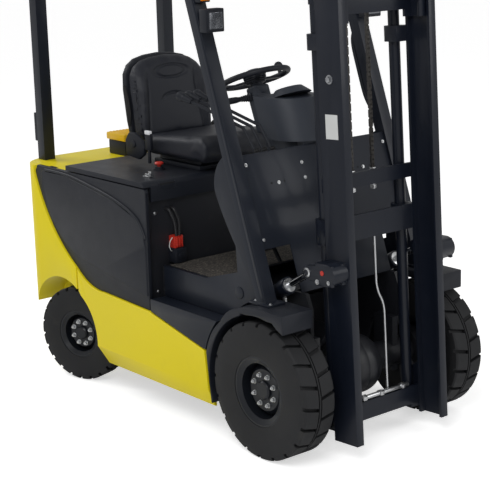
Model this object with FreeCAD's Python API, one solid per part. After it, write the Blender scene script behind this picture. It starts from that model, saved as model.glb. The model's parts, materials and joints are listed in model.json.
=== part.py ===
import FreeCAD
import Part
import math
import os

os.makedirs("parts", exist_ok=True)

# Four-wheel electric counterbalance forklift, millimetres.
# +X is forward, +Y is to the driver's left, +Z is up. While it is drawn, X = 0 is the front
# axle and Z = 0 the floor; save_all() then moves every piece so that X = 0 is mid-length.

# Running gear
WHEELBASE = 1425.0
FRONT_TYRE_R = 294.0
FRONT_TYRE_W = 176.0
FRONT_TRACK_Y = 440.0
FRONT_RIM_R = 127.0
FRONT_FLANGE_R = 150.0
FRONT_LUGS = 20
FRONT_DISH = 46.0
REAR_TYRE_R = 232.0
REAR_TYRE_W = 122.0
REAR_RIM_R = 101.0
REAR_FLANGE_R = 117.0
REAR_LUGS = 22
REAR_DISH = 24.0
LUG_DEPTH = 18.0
KINGPIN_Y = 372.0
KINGPIN_OFFSET = 88.0
KINGPIN_R = 15.0
REST_STEER = 18.0

# Body
BODY_Y = 525.0
SKIRT_T = 40.0
SKIRT_LOW_Z = 140.0
SKIRT_CREASE_Z = 222.0
PANEL_T = 20.0
REAR_X = -1850.0
REAR_CORNER_R = 185.0
SEAM_X = -1335.0
WEIGHT_LOW_Z = 330.0
WEIGHT_TOP_Z = 1030.0
HOOD_TOP_Z = 1064.0
HOOD_T = 22.0
BATTERY_FRONT_X = -790.0
BATTERY_REAR_X = -1300.0
BATTERY_Y = 420.0
BATTERY_LOW_Z = 490.0
BATTERY_H = 530.0
COMPARTMENT_X = -762.0
HINGE = (-1412.0, 1010.0)
HINGE_Y = 290.0
HINGE_PIN_R = 8.0
STEP_Z = 540.0
FLOOR_Z = 676.0
FLOOR_Y = 415.0
FENDER_IN_Y = 360.0
SIDE_PLATE_Y = 440.0
SHEET = 6.0

# Overhead guard
PILLAR = 60.0
PILLAR_Y = 440.0
PILLAR_FOOT = (-21.0, 642.0)
PILLAR_LEAN = 0.345
REAR_PILLAR_X = -1790.0
REAR_PILLAR_Y = 381.0
ROOF_Z = 2040.0
ROOF_BARS = 7

# Mast, drawn upright from the lower rear corner of its rails, then leant back
MAST_X = 190.0
MAST_Z = 69.0
MAST_BACK = 2.85
RAIL_Y = 269.0
RAIL_D = 135.0
RAIL_FLANGE = 38.0
RAIL_T = 14.0
OUTER_H = 2080.0
INNER_H = 2150.0
LIFT = 1700.0
MAST_PIVOT = (100.0, 205.0)
CYLINDER_D = -53.0
CYLINDER_Y = 216.0
CYLINDER_R = 24.0
CYLINDER_ROD_R = 17.5
CHAIN_Y = 60.0
SHEAVE_R = 60.0
FORK_L = 1070.0
FORK_W = 100.0
FORK_T = 35.0
FORK_Y = 230.0

# Tilt cylinders, pin to pin
TILT_Y = 315.0
TILT_REAR = (-300.0, 545.0)
TILT_EYE = (125.0, 795.0)
TILT_BARREL_R = 34.0
TILT_ROD_R = 15.0
TILT_PIN_R = 12.0

# Clearances
GAP = 0.3
PIN_FIT = 0.05
EYE_ROOM = 2.4
RUN = 6.0


def vec(x, y, z):
    return FreeCAD.Vector(x, y, z)


def box(x, y, z):
    """Block between the low and high ends of each pair."""
    return Part.makeBox(x[1] - x[0], y[1] - y[0], z[1] - z[0], vec(x[0], y[0], z[0]))


def rod(start, end, radius):
    a = vec(*start)
    b = vec(*end)
    return Part.makeCylinder(radius, (b - a).Length, a, b - a)


def tube(start, end, radius, bore):
    return rod(start, end, radius).cut(rod(start, end, bore))


def outline(points, place):
    """Closed wire through points; an entry ((mx, mz), (x, z)) is an arc by way of its first point."""
    edges = []
    last = points[0]
    for item in points[1:] + [points[0]]:
        if isinstance(item[0], tuple):
            mid, end = item
            edges.append(Part.Arc(place(*last), place(*mid), place(*end)).toShape())
        else:
            end = item
            if end == last:
                continue
            edges.append(Part.makeLine(place(*last), place(*end)))
        last = end
    return Part.Wire(edges)


def side_prism(points, y0, y1):
    """Outline in side view (X, Z), from y0 to y1."""
    face = Part.Face(outline(points, lambda x, z: vec(x, y0, z)))
    return face.extrude(vec(0, y1 - y0, 0))


def plan_prism(points, z0, z1):
    """Outline in plan (X, Y), from z0 to z1."""
    face = Part.Face(outline(points, lambda x, y: vec(x, y, z0)))
    return face.extrude(vec(0, 0, z1 - z0))


def turned(points):
    """Outline of (radius, distance along Y), turned about the Y axis."""
    face = Part.Face(outline(points, lambda r, s: vec(r, s, 0)))
    return face.revolve(vec(0, 0, 0), vec(0, 1, 0), 360)


def moved(shape, x, y, z):
    copy = shape.copy()
    copy.translate(vec(x, y, z))
    return copy


def mirrored(shape):
    return shape.mirror(vec(0, 0, 0), vec(0, 1, 0))


def fused(shapes):
    return shapes[0].multiFuse(shapes[1:]).removeSplitter()


def pair(shape):
    """The piece and its twin on the other side."""
    return [shape, mirrored(shape)]


PIECES = {}


def add(name, *shapes):
    PIECES[name] = [solid for shape in shapes for solid in shape.Solids]


# Wheels are drawn about the Y axis with the outer face towards +Y, then set in place.

def tyre(radius, width, bore, flange, lugs):
    """Solid tyre with two staggered rows of chunky lugs cut by slanted grooves."""
    half = width / 2
    rim_half = half - 8
    shoulder = radius - 30
    wall = (radius + flange) / 2
    sides = [(bore + GAP, rim_half - 14), (bore + 4, rim_half - 6), (flange + 1, rim_half - 5),
             (flange + 1, half - 6), ((wall, half), (shoulder, half - 3)), (radius - 5, half - 8),
             (radius, half - 16)]
    flipped = [(bore + GAP, 14 - rim_half), (radius, 16 - half), (radius - 5, 8 - half),
               (shoulder, 3 - half), ((wall, -half), (flange + 1, 6 - half)),
               (flange + 1, 5 - rim_half), (bore + 4, 6 - rim_half)]
    body = turned(sides + flipped[1:] + flipped[:1])
    grooves = []
    for side in (1, -1):
        for i in range(lugs):
            groove = box((-8, 8), (6, half + 10), (radius - LUG_DEPTH, radius + 10))
            groove.rotate(vec(0, 0, 0), vec(0, 0, 1), 14)
            if side < 0:
                groove = mirrored(groove)
            groove.rotate(vec(0, 0, 0), vec(0, 1, 0), (i + 0.25 * side) * 360 / lugs)
            grooves.append(groove)
        ring = turned([(radius - LUG_DEPTH, side * 3), (radius + 5, side * 3), (radius + 5, side * 9),
                       (radius - LUG_DEPTH, side * 9)])
        grooves.append(ring)
    return body.cut(Part.makeCompound(grooves))


def rim(radius, flange, width, dish, hub_r, nose):
    """Rim barrel with flanges, a dished disc whose face stands at dish, and a hub cap to nose."""
    half = width / 2 - 8
    wall = 8.0
    face = dish
    profile = [(0, nose), (hub_r - 6, nose), (hub_r, nose - 6), (hub_r, face), (radius * 0.70, face),
               (radius - wall, face - 34), (radius - wall, half - 12), (flange - 8, half),
               (flange, half), (flange, half - 5), (radius + 4, half - 6), (radius, half - 14),
               (radius, 14 - half), (radius + 4, 6 - half), (flange, 5 - half), (flange, -half),
               (flange - 8, -half), (radius - wall, 12 - half), (radius - wall, face - 48),
               (radius * 0.66, face - 12), (0, face - 12)]
    return turned(profile)


def wheel_sets():
    front_tyre = tyre(FRONT_TYRE_R, FRONT_TYRE_W, FRONT_RIM_R, FRONT_FLANGE_R, FRONT_LUGS)
    front_rim = rim(FRONT_RIM_R, FRONT_FLANGE_R, FRONT_TYRE_W, FRONT_DISH, 40, FRONT_DISH + 14)
    rear_tyre = tyre(REAR_TYRE_R, REAR_TYRE_W, REAR_RIM_R, REAR_FLANGE_R, REAR_LUGS)
    rear_rim = rim(REAR_RIM_R, REAR_FLANGE_R, REAR_TYRE_W, REAR_DISH, 32, REAR_DISH + 16)
    for side, name in ((1, "left"), (-1, "right")):
        for piece, shape in (("tyre", front_tyre), ("rim", front_rim)):
            wheel = shape if side > 0 else mirrored(shape)
            add("front_%s_%s" % (piece, name), moved(wheel, 0, side * FRONT_TRACK_Y, FRONT_TYRE_R))
        for piece, shape in (("tyre", rear_tyre), ("rim", rear_rim)):
            wheel = moved(shape, 0, KINGPIN_OFFSET, 0)
            wheel = wheel if side > 0 else mirrored(wheel)
            wheel = steered(wheel)
            add("rear_%s_%s" % (piece, name), moved(wheel, -WHEELBASE, side * KINGPIN_Y, REAR_TYRE_R))


def steered(shape):
    """Turned about the kingpin, which stands at the origin, by the angle at rest."""
    copy = shape.copy()
    copy.rotate(vec(0, 0, 0), vec(0, 0, 1), REST_STEER)
    return copy


YOKE_H = 45.0
YOKE_T = 20.0


def knuckles():
    """Kingpin barrel, spindle to the wheel, and steering arm on top of the pin."""
    barrel = tube((0, 0, -YOKE_H + 1), (0, 0, YOKE_H - 1), 28, KINGPIN_R)
    pin = rod((0, 0, -YOKE_H - YOKE_T - 6), (0, 0, YOKE_H + YOKE_T + 20), KINGPIN_R)
    spindle = rod((0, 0, 0), (0, KINGPIN_OFFSET + REAR_DISH - 12 - GAP, 0), 22)
    hub = rod((0, 34, 0), (0, KINGPIN_OFFSET + REAR_DISH - 12 - GAP, 0), 60)
    arm = box((-90, 0), (-20, 12), (YOKE_H + YOKE_T + 6, YOKE_H + YOKE_T + 20))
    arm = arm.fuse(rod((-90, -4, YOKE_H + YOKE_T + 6), (-90, -4, YOKE_H + YOKE_T + 20), 16))
    shape = fused([barrel, pin, spindle, hub, arm])
    for side, name in ((1, "left"), (-1, "right")):
        piece = shape if side > 0 else mirrored(shape)
        add("knuckle_" + name, moved(steered(piece), -WHEELBASE, side * KINGPIN_Y, REAR_TYRE_R))


def steer_axle():
    """Box beam with a yoke at each end, pivot boss on top and the steering cylinder behind."""
    z = REAR_TYRE_R
    x = -WHEELBASE
    beam = box((x - 45, x + 45), (-328, 328), (z - 42, z + 43))
    parts = [beam, box((x - 55, x + 55), (-92, 92), (z - 50, z + 67)),
             rod((x - 78, 0, z + 100), (x + 64, 0, z + 100), 30),
             box((x - 52, x + 50), (-45, 45), (z + 60, z + 100))]
    for side in (1, -1):
        for low in (-YOKE_H - YOKE_T, YOKE_H):
            ear = box((x - 28, x + 28), sorted((side * 306, side * KINGPIN_Y)), (z + low, z + low + YOKE_T))
            ear = ear.fuse(rod((x, side * KINGPIN_Y, z + low), (x, side * KINGPIN_Y, z + low + YOKE_T), 28))
            parts.append(ear)
        parts.append(box((x - 40, x + 40), sorted((side * 300, side * 334)),
                         (z - YOKE_H - YOKE_T, z + YOKE_H + YOKE_T)))
    cylinder = rod((x - 92, -150, z), (x - 92, 150, z), 32)
    rods = rod((x - 92, -200, z), (x - 92, 200, z), 14)
    clamps = [box((x - 92, x - 40), (y - 12, y + 12), (z - 20, z + 20)) for y in (-120, 120)]
    shape = fused(parts + [cylinder, rods] + clamps)
    for side in (1, -1):
        hole = rod((x, side * KINGPIN_Y, z - 90), (x, side * KINGPIN_Y, z + 90), KINGPIN_R + PIN_FIT)
        shape = shape.cut(hole)
    add("steer_axle", shape)


def drive_axle():
    """Axle tubes and brake hubs either side of a rounded final-drive case with two motors."""
    z = FRONT_TYRE_R
    case = turned([(0, -105), (88, -105), ((124, -60), (128, 0)), ((124, 60), (88, 105)), (0, 105)])
    case.translate(vec(0, 0, z))
    tubes = rod((0, -340, z), (0, 340, z), 62)
    hub_end = FRONT_TRACK_Y + FRONT_DISH - 12 - GAP
    hubs = []
    for side in (1, -1):
        hubs.append(rod((0, side * 330, z), (0, side * (FRONT_TRACK_Y - 20), z), 92))
        hubs.append(rod((0, side * 330, z), (0, side * hub_end, z), 58))
        hubs.append(box((-70, 45), sorted((side * 214, side * 246)), (z - 70, z + 150)))
    motor = rod((-330, 0, z + 40), (-90, 0, z + 40), 105)
    lugs = []
    for side in (1, -1):
        lug = side_prism([(20, z - 30), (40, MAST_PIVOT[1] - 34), (MAST_PIVOT[0] + 10, MAST_PIVOT[1] - 30),
                          (MAST_PIVOT[0] + 26, MAST_PIVOT[1]), (MAST_PIVOT[0] + 10, MAST_PIVOT[1] + 30),
                          (55, z + 20)], *sorted((side * 271, side * 292)))
        pin = rod((MAST_PIVOT[0], side * 246, MAST_PIVOT[1]), (MAST_PIVOT[0], side * 292, MAST_PIVOT[1]), 18)
        lugs += [lug, pin]
    add("drive_axle", fused([tubes, case, motor] + hubs + lugs))


def frame():
    """Welded frame: rails over the drive axle, sills, battery tray and rear wall."""
    rail_y = (250, 268)
    deck = FLOOR_Z - 5 - GAP
    parts = []
    for side in (1, -1):
        rail = side_prism([(COMPARTMENT_X, 240), (-180, 240), (-120, 430), (48, 430), (48, 600),
                           (20, deck - 6), (COMPARTMENT_X, deck - 6)],
                          *sorted((side * rail_y[0], side * rail_y[1])))
        sill = box((-1105, -352), sorted((side * 440, side * (BODY_Y - SKIRT_T))), (165, 440))
        bracket = rod((TILT_REAR[0], side * 260, TILT_REAR[1]),
                      (TILT_REAR[0], side * (TILT_Y - 20 - GAP), TILT_REAR[1]), 20)
        pin = rod((TILT_REAR[0], side * 262, TILT_REAR[1]), (TILT_REAR[0], side * (TILT_Y + 24), TILT_REAR[1]),
                  TILT_PIN_R)
        seat = box((-70, 45), sorted((side * 214, side * 268)), (FRONT_TYRE_R + 150, 470))
        parts += [rail, sill, bracket, pin, seat]
    parts.append(box((COMPARTMENT_X, COMPARTMENT_X + 20), (-433, 433), (165, deck)))
    parts.append(box((-786, -780), (-485, 485), (480, HOOD_TOP_Z - HOOD_T - GAP)))
    parts.append(box((-365, -352), (-441, 441), (165, 520)))
    parts.append(box((-1330, COMPARTMENT_X + 5), (-485, 485), (474, BATTERY_LOW_Z - GAP)))
    parts.append(box((-1105, -1090), (-450, 450), (165, 480)))
    parts.append(box((-1345, -1330), (-485, 485), (474, 1000)))
    pivot = (-WHEELBASE - 78 - GAP, -WHEELBASE + 64 + GAP)
    parts.append(box(sorted((pivot[0] - 12, SEAM_X + 15)), (-90, 90), (400, 489)))
    parts.append(box((pivot[1], pivot[1] + 30), (-60, 60), (300, 489)))
    parts.append(box((pivot[0] - 12, pivot[0]), (-60, 60), (300, 489)))
    parts.append(box((COMPARTMENT_X, -60), (-268, 268), (deck - 6, deck)))
    shape = fused(parts)
    add("chassis_frame", shape)


def boundary():
    """Line between the yellow skirt and the black panels in side view, front to back."""
    return [(-353, 392), (-754, 481), (-1118, 497), ((-1240, 515), (-1332, 568)), ((-1540, 745), (-1683, 1002))]


def wheel_room(side):
    """Space that a steered rear wheel sweeps about its kingpin, with its running clearance."""
    reach = math.hypot(REAR_TYRE_R, KINGPIN_OFFSET + REAR_TYRE_W / 2) + RUN
    ball = Part.makeSphere(reach, vec(-WHEELBASE, side * KINGPIN_Y, REAR_TYRE_R))
    slab = box((-WHEELBASE - reach, -WHEELBASE + reach), (-BODY_Y * 2, BODY_Y * 2), (-50, 2 * REAR_TYRE_R + RUN))
    return ball.common(slab)


def skirts():
    """Yellow lower side panels with a chamfered foot."""
    top = boundary()[:4]
    low = [(SEAM_X + 2, 570), (SEAM_X + 2, 462), ((-1250, 345), (-1213, 262)), (-1141, SKIRT_LOW_Z),
           (-324, SKIRT_LOW_Z)]
    top[3] = ((-1240, 515), (SEAM_X + 2, 570))
    points = [top[0], top[1], top[2], top[3]] + low[1:]
    slab = side_prism(points, -BODY_Y, -BODY_Y + SKIRT_T)
    foot = SKIRT_CREASE_Z - SKIRT_LOW_Z
    wedge = Part.Face(outline([(-BODY_Y - 1, SKIRT_CREASE_Z), (-BODY_Y - 1, SKIRT_LOW_Z - 5),
                               (-BODY_Y + SKIRT_T * 0.8, SKIRT_LOW_Z - 5)],
                              lambda y, z: vec(-1400, y, z))).extrude(vec(1200, 0, 0))
    slab = slab.cut(wedge).cut(wheel_room(-1))
    add("side_skirts", *pair(slab))


def panels():
    """Black side panels of the battery compartment, behind the skirt line."""
    points = [(-754, 483), (-1118, 499), ((-1240, 517), (SEAM_X, 572)), ((-1540, 749), (-1681, 1004)),
              (-1660, 1036), (-766, 1036), ((-757, 1030), (-754, 1015))]
    outer = BODY_Y - 8
    slab = side_prism(points, -outer, -outer + PANEL_T)
    door = side_prism([(-762, 548), (-1128, 603), (-1290, 630), ((-1480, 720), (-1590, 855)), (-1618, 915),
                       (-1612, 1012), (-1400, 1014), (-1230, 990), (-1014, 953), (-880, 912),
                       ((-800, 866), (-768, 790)), (-762, 770)], -outer - 7, -outer)
    add("side_panels", *pair(slab.fuse(door)))


def counterweight():
    """Cast rear body with rounded corners, wheel arches and the towing pocket."""
    r = REAR_CORNER_R
    s = r * (1 - math.sqrt(0.5))
    y = BODY_Y
    plan = [(SEAM_X - 1, -y), (REAR_X + r, -y), ((REAR_X + s, -y + s), (REAR_X, -y + r)),
            (REAR_X, y - r), ((REAR_X + s, y - s), (REAR_X + r, y)), (SEAM_X - 1, y)]
    block = plan_prism(plan, WEIGHT_LOW_Z, WEIGHT_TOP_Z)
    cuts = []
    pocket = [(SEAM_X + 5, 569), ((-1540, 745), (-1683, 1003)), (-1683, 1060), (SEAM_X + 5, 1060)]
    for side in (1, -1):
        cuts.append(side_prism(pocket, *sorted((side * (y - 36), side * (y + 5)))))
        cuts.append(wheel_room(side))
        arch = [(-1141, 149), (-1213, 262), ((-1250, 345), (SEAM_X, 462)), ((-1520, 500), (-1712, 377)),
                (-1760, 300), (-1760, 100)]
        cuts.append(side_prism(arch, *sorted((side * KINGPIN_Y, side * (y + 5)))))
    cuts.append(box(sorted((-WHEELBASE - 115, SEAM_X + 5)), (-100, 100), (300, 500)))
    cuts.append(box((-1346, SEAM_X + 5), (-530, 530), (300, 1001)))
    cuts.append(box((REAR_X - 5, REAR_X + 90), (-55, 55), (500, 590)))
    cuts.append(rod((REAR_X + 45, 0, 450), (REAR_X + 45, 0, 660), 14 + GAP))
    pins = []
    for side in (1, -1):
        low, high = sorted((side * (HINGE_Y - 28), side * (HINGE_Y + 28)))
        cuts.append(box((HINGE[0] - 30, SEAM_X + 5), (low, high), (HINGE[1] - 26, WEIGHT_TOP_Z + 5)))
        pins.append(rod((HINGE[0], low - 5, HINGE[1]), (HINGE[0], high + 5, HINGE[1]), HINGE_PIN_R))
    shape = block.cut(Part.makeCompound(cuts))
    add("counterweight", fused(shape.Solids[:1] + pins))
    add("tow_pin", rod((REAR_X + 45, 0, 455), (REAR_X + 45, 0, 655), 14))


def battery():
    add("battery", box((BATTERY_REAR_X, BATTERY_FRONT_X), (-BATTERY_Y, BATTERY_Y),
                       (BATTERY_LOW_Z, BATTERY_LOW_Z + BATTERY_H)))


def hood():
    """Hood lid with turned-down edges, rounded at the front."""
    y = BODY_Y - 6
    top = HOOD_TOP_Z
    low = top - HOOD_T
    lid = [(-1398, low), (-1398, top), (-795, top), ((-767, top - 8), (-760, low))]
    lip = box((-773, -760), (-480, 480), (975, low + 1))
    arms = []
    for side in (1, -1):
        ys = sorted((side * (HINGE_Y - 8), side * (HINGE_Y + 8)))
        arm = side_prism([(HINGE[0] - 4, HINGE[1] - 16), (HINGE[0] + 6, HINGE[1] - 17), (-1352, low + 1),
                          (-1396, low + 1)], *ys)
        arm = arm.fuse(rod((HINGE[0], ys[0], HINGE[1]), (HINGE[0], ys[1], HINGE[1]), 18))
        arms.append(arm.cut(rod((HINGE[0], ys[0] - 1, HINGE[1]), (HINGE[0], ys[1] + 1, HINGE[1]),
                                HINGE_PIN_R + PIN_FIT)))
    add("hood", fused([side_prism(lid, -y, y), lip] + arms))


def seat():
    """Suspension base, cushion, backrest and the belt buckle."""
    z = HOOD_TOP_Z
    base = fused([box((-1160, -806), (-170, 170), (z, z + 22)), box((-1140, -820), (-150, 150), (z + 22, z + 62)),
                  box((-1160, -740), (-185, 185), (z + 62, z + 84))])
    add("seat_base", base)
    cushion = side_prism([(-1178, z + 84 + GAP), (-705, z + 84 + GAP), ((-660, z + 105), (-670, z + 150)),
                          ((-700, z + 168), (-760, z + 160)), (-1120, z + 132), (-1178, z + 140)], -245, 245)
    add("seat_cushion", cushion)
    back = side_prism([(-1178 - GAP, z + 100), (-1178 - GAP, z + 140), (-1225, z + 400), ((-1240, z + 480), (-1290, z + 500)),
                       ((-1325, z + 480), (-1322, z + 400)), (-1285, z + 100)], -235, 235)
    add("seat_backrest", back)


def floor():
    """Floor plate, toe board, the entry treads with their sills, and the side plates."""
    plate = plan_prism([(COMPARTMENT_X + 22, -FLOOR_Y), (-432, -FLOOR_Y), (-394, -305), (-394, 305), (-432, FLOOR_Y),
                        (COMPARTMENT_X + 22, FLOOR_Y)], FLOOR_Z - 5, FLOOR_Z)
    toe = side_prism([(-394, FLOOR_Z - 5), (-210, 742), (-210, 748), (-394, FLOOR_Z)], -305, 305)
    add("floor_plate", plate.fuse(toe))
    tread = side_prism([(-740, 484), (-358, 398), (-346, 398), ((-306, 484), (-262, STEP_Z)), (-740, STEP_Z)],
                       -BODY_Y + 2, -BODY_Y + SKIRT_T)
    shelf = box((-740, -262), (-BODY_Y + SKIRT_T, -SIDE_PLATE_Y), (STEP_Z - SHEET, STEP_Z))
    add("entry_steps", *pair(tread.fuse(shelf)))


def toe_z(x):
    """Height of the toe board's upper face."""
    return FLOOR_Z + (x + 394) * (748 - FLOOR_Z) / (394 - 210)


def side_plates():
    """Plates between the steps and the footwell, rising to a knee bracket behind each pillar."""
    points = [(-740, STEP_Z + GAP), (-262, STEP_Z + GAP), (-225, 575), ((-150, 628), (-90, 645)), (-90, 664), (-61, 664), (-258, 1232),
              (-275, 1238),
              ((-345, 1160), (-352, 1075)), ((-290, 960), (-222, 860)), (-215, 748), (-432, 683),
              (-740, 683)]
    plate = side_prism(points, -SIDE_PLATE_Y, -SIDE_PLATE_Y + SHEET)
    add("side_plates", *pair(plate))


def fenders():
    """Arched covers over the front tyres with a level shelf on top."""
    points = [(-314, 160), (-340, 385), ((-300, 480), (-238, 545)), ((-185, 600), (-118, 628)),
              ((-60, 645), (-20, 651)), (165, 651), (165, 560), (100, 610), (-100, 610), (-318, 160)]
    blank = side_prism(points[:-1], -BODY_Y, -FENDER_IN_Y)
    tyre_room = rod((0, -BODY_Y - 5, FRONT_TYRE_R), (0, -300, FRONT_TYRE_R), FRONT_TYRE_R + 28)
    add("front_fenders", *pair(blank.cut(tyre_room)))


def pillar_x(z):
    return PILLAR_FOOT[0] - PILLAR_LEAN * (z - PILLAR_FOOT[1])


def guard():
    """Overhead guard: raked front pillars, upright rear pillars and the barred roof."""
    h = PILLAR / 2
    parts = []
    for side in (1, -1):
        y = side * PILLAR_Y
        foot_z = 652
        a = [(pillar_x(foot_z) - h, foot_z), (pillar_x(foot_z) + h, foot_z), (pillar_x(ROOF_Z) + h, ROOF_Z),
             (pillar_x(ROOF_Z) - h, ROOF_Z)]
        parts.append(side_prism(a, y - h, y + h))
        parts.append(box((pillar_x(foot_z) - 60, pillar_x(foot_z) + 60), (y - 45, y + 45), (651 + GAP, 661)))
        ry = side * REAR_PILLAR_Y
        parts.append(box((REAR_PILLAR_X - h, REAR_PILLAR_X + h), (ry - h, ry + h), (WEIGHT_TOP_Z + GAP, ROOF_Z)))
        front = pillar_x(ROOF_Z) + h
        back = REAR_PILLAR_X - h
        parts.append(plan_prism([(front, y - side * h), (front, y + side * h), (back, ry + side * h),
                                 (back, ry - side * h)], ROOF_Z - 1, ROOF_Z + PILLAR))
    front = pillar_x(ROOF_Z) + h
    back = REAR_PILLAR_X - h
    parts.append(box((front - PILLAR, front), (-PILLAR_Y, PILLAR_Y), (ROOF_Z - 1, ROOF_Z + PILLAR)))
    parts.append(box((back, back + PILLAR), (-REAR_PILLAR_Y, REAR_PILLAR_Y), (ROOF_Z - 1, ROOF_Z + PILLAR)))
    pitch = (front - back - 2 * PILLAR) / (ROOF_BARS + 1)
    for i in range(ROOF_BARS):
        x = front - PILLAR - pitch * (i + 1)
        share = (front - x) / (front - back)
        reach = PILLAR_Y + (REAR_PILLAR_Y - PILLAR_Y) * share
        parts.append(box((x - 16, x + 16), (-reach, reach), (ROOF_Z + 20, ROOF_Z + 45)))
    add("overhead_guard", fused(parts))


def cowl():
    """Raked front panel between the pillars, with rounded windows for the tilt cylinders."""
    low, high = 665.0, 1240.0
    t = 5.0
    h = PILLAR / 2
    a = [(pillar_x(low) + h - 16, low), (pillar_x(low) + h - 16 + t, low), (pillar_x(high) + h - 16 + t, high),
         (pillar_x(high) + h - 16, high)]
    inner = PILLAR_Y - h - GAP
    plate = side_prism(a, -inner, inner)
    windows = []
    for side in (1, -1):
        ys = sorted((side * 262, side * (inner + 5)))
        windows.append(box((-300, 120), ys, (640, 862)))
    add("cowl_panel", plate.cut(Part.makeCompound(windows)))


COLUMN_FOOT = (-300.2, 0.0, 713.3)
WHEEL_HUB = (-600.0, 0.0, 1490.0)


def along(start, end, share):
    return tuple(a + (b - a) * share for a, b in zip(start, end))


def controls():
    """Steering column, instrument pod, levers and pedals."""
    length = math.dist(COLUMN_FOOT, WHEEL_HUB)
    top = along(COLUMN_FOOT, WHEEL_HUB, 1 - (26 + GAP) / length)
    column = rod(COLUMN_FOOT, top, 27)
    rest_z = 1180
    column = column.fuse(box((-475, pillar_x(rest_z + 20) + PILLAR / 2 - 16 - GAP), (-22, 22), (rest_z - 20, rest_z + 20)))
    column = column.fuse(rod(COLUMN_FOOT, along(COLUMN_FOOT, WHEEL_HUB, 0.30), 40))
    add("steering_column", column)
    plan = [(-400, -130), (-300, -130), ((-188, 0), (-300, 130)), (-400, 130)]
    lean = vec(-62, 0, 178)
    pod = Part.Face(outline(plan, lambda x, y: vec(x, y, 1256))).extrude(lean)
    low_plan = [(-385, -95), (-300, -95), ((-222, 0), (-300, 95)), (-385, 95)]
    pod = pod.fuse(Part.Face(outline(low_plan, lambda x, y: vec(x, y, 1215))).extrude(vec(-14, 0, 42)))
    shelf = Part.makeCone(96, 60, 34, vec(-362, 0, 1432), vec(-0.33, 0, 0.944))
    pod = pod.fuse(shelf.common(box((-480, -200), (-96, 96), (1400, 1500))))
    neck_x = pillar_x(1240) + PILLAR / 2 - 16 - GAP
    pod = pod.cut(box((neck_x, -100), (-140, 140), (1150, 1240 + GAP)))
    pod = pod.fuse(box((-330, neck_x), (-60, 60), (1215, 1270)))
    add("instrument_pod", pod)
    levers = []
    for y in (-180, -225, -270):
        foot = (-262, y, 1200)
        knee = (-330, y - 25, 1330)
        tip = (-640, y - 105, 1440)
        levers += [fused([rod(foot, knee, 7), Part.makeSphere(7, vec(*knee)), rod(knee, tip, 7),
                          Part.makeSphere(20, vec(*tip))])]
    lever_box = box((-285, pillar_x(1206) + PILLAR / 2 - 16 - GAP), (-295, -155), (1150, 1206))
    add("control_levers", fused([lever_box] + levers))


def pipe(points, radius):
    """Round bar on straight runs that are joined by tangent arcs."""
    corners = [vec(*p) for p in points]
    edges = []
    last = corners[0]
    for before, corner, after in zip(corners, corners[1:], corners[2:]):
        back = before - corner
        ahead = after - corner
        reach = 0.45 * min(back.Length, ahead.Length)
        back.normalize()
        ahead.normalize()
        half = back.getAngle(ahead) / 2
        start = corner + back * reach
        end = corner + ahead * reach
        middle = (back + ahead).normalize()
        crown = corner + middle * (reach / math.cos(half) - reach * math.tan(half))
        edges.append(Part.makeLine(last, start))
        edges.append(Part.Arc(start, crown, end).toShape())
        last = end
    edges.append(Part.makeLine(last, corners[-1]))
    disc = Part.Wire(Part.makeCircle(radius, corners[0], corners[1] - corners[0]))
    return Part.Wire(edges).makePipeShell([disc], True, True)


def fittings():
    """Pedals, storage box with its lid, tail lamps, battery cables and the pipes of the mast."""
    pedals = []
    # Middle of each pedal, its half width and its height over the toe board
    for y, half, rise in ((-205, 42, 62), (-100, 34, 70), (95, 34, 70)):
        plate = box((-14, 96), (-half, half), (0, 8))
        plate.rotate(vec(0, 0, 0), vec(0, 1, 0), -34)
        plate.translate(vec(-420, y, 680 + rise))
        stalk = side_prism([(-338, toe_z(-338) + 4), (-324, toe_z(-324) + 4), (-378, 712 + rise),
                            (-392, 703 + rise)], y - 6, y + 6)
        foot = side_prism([(-348, toe_z(-348) + GAP), (-314, toe_z(-314) + GAP), (-314, toe_z(-314) + 9),
                           (-348, toe_z(-348) + 9)], y - 15, y + 15)
        pedals.append(fused([plate, stalk, foot]))
    add("pedals", *pedals)
    box_low = WEIGHT_TOP_Z + GAP
    add("storage_box", box((-1695, -1550), (-70, 70), (box_low, 1104)))
    add("box_lid", box((-1703, -1542), (-78, 78), (1104 + GAP, 1140)))
    lamps = []
    for side in (1, -1):
        x = REAR_PILLAR_X - PILLAR / 2 - GAP
        lamps.append(box((x - 28, x), sorted((side * 354, side * 408)), (1120, 1262)))
    add("rear_lamps", *lamps)
    cables = []
    for shift in (0, 26):
        start = (-780 + GAP, -392 + shift, 930)
        cables.append(pipe([start, (-752, -392 + shift, 930), (-738, -372 + shift, 872),
                            (-740, -365 + shift * 0.6, 806 + GAP)], 7))
    add("battery_cables", *cables)
    back = -16 - 6 - GAP
    riser = pipe([(back, 25, 850), (back, 25, 590), (back, 66, 515), (back, 66, 180), (back + 2, 66, 108),
                  (back + 2, -150, 108)], 6)
    low = (-14 - 15 - GAP, 70)
    cross = rod((low[0], -CYLINDER_Y + CYLINDER_R + 7, low[1]), (low[0], CYLINDER_Y - CYLINDER_R - 7, low[1]), 11)
    nuts = [rod((low[0], y - 14, low[1]), (low[0], y + 14, low[1]), 15) for y in (-150, 150)]
    add("mast_hoses", leant(riser), leant(fused([cross] + nuts)))


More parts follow.
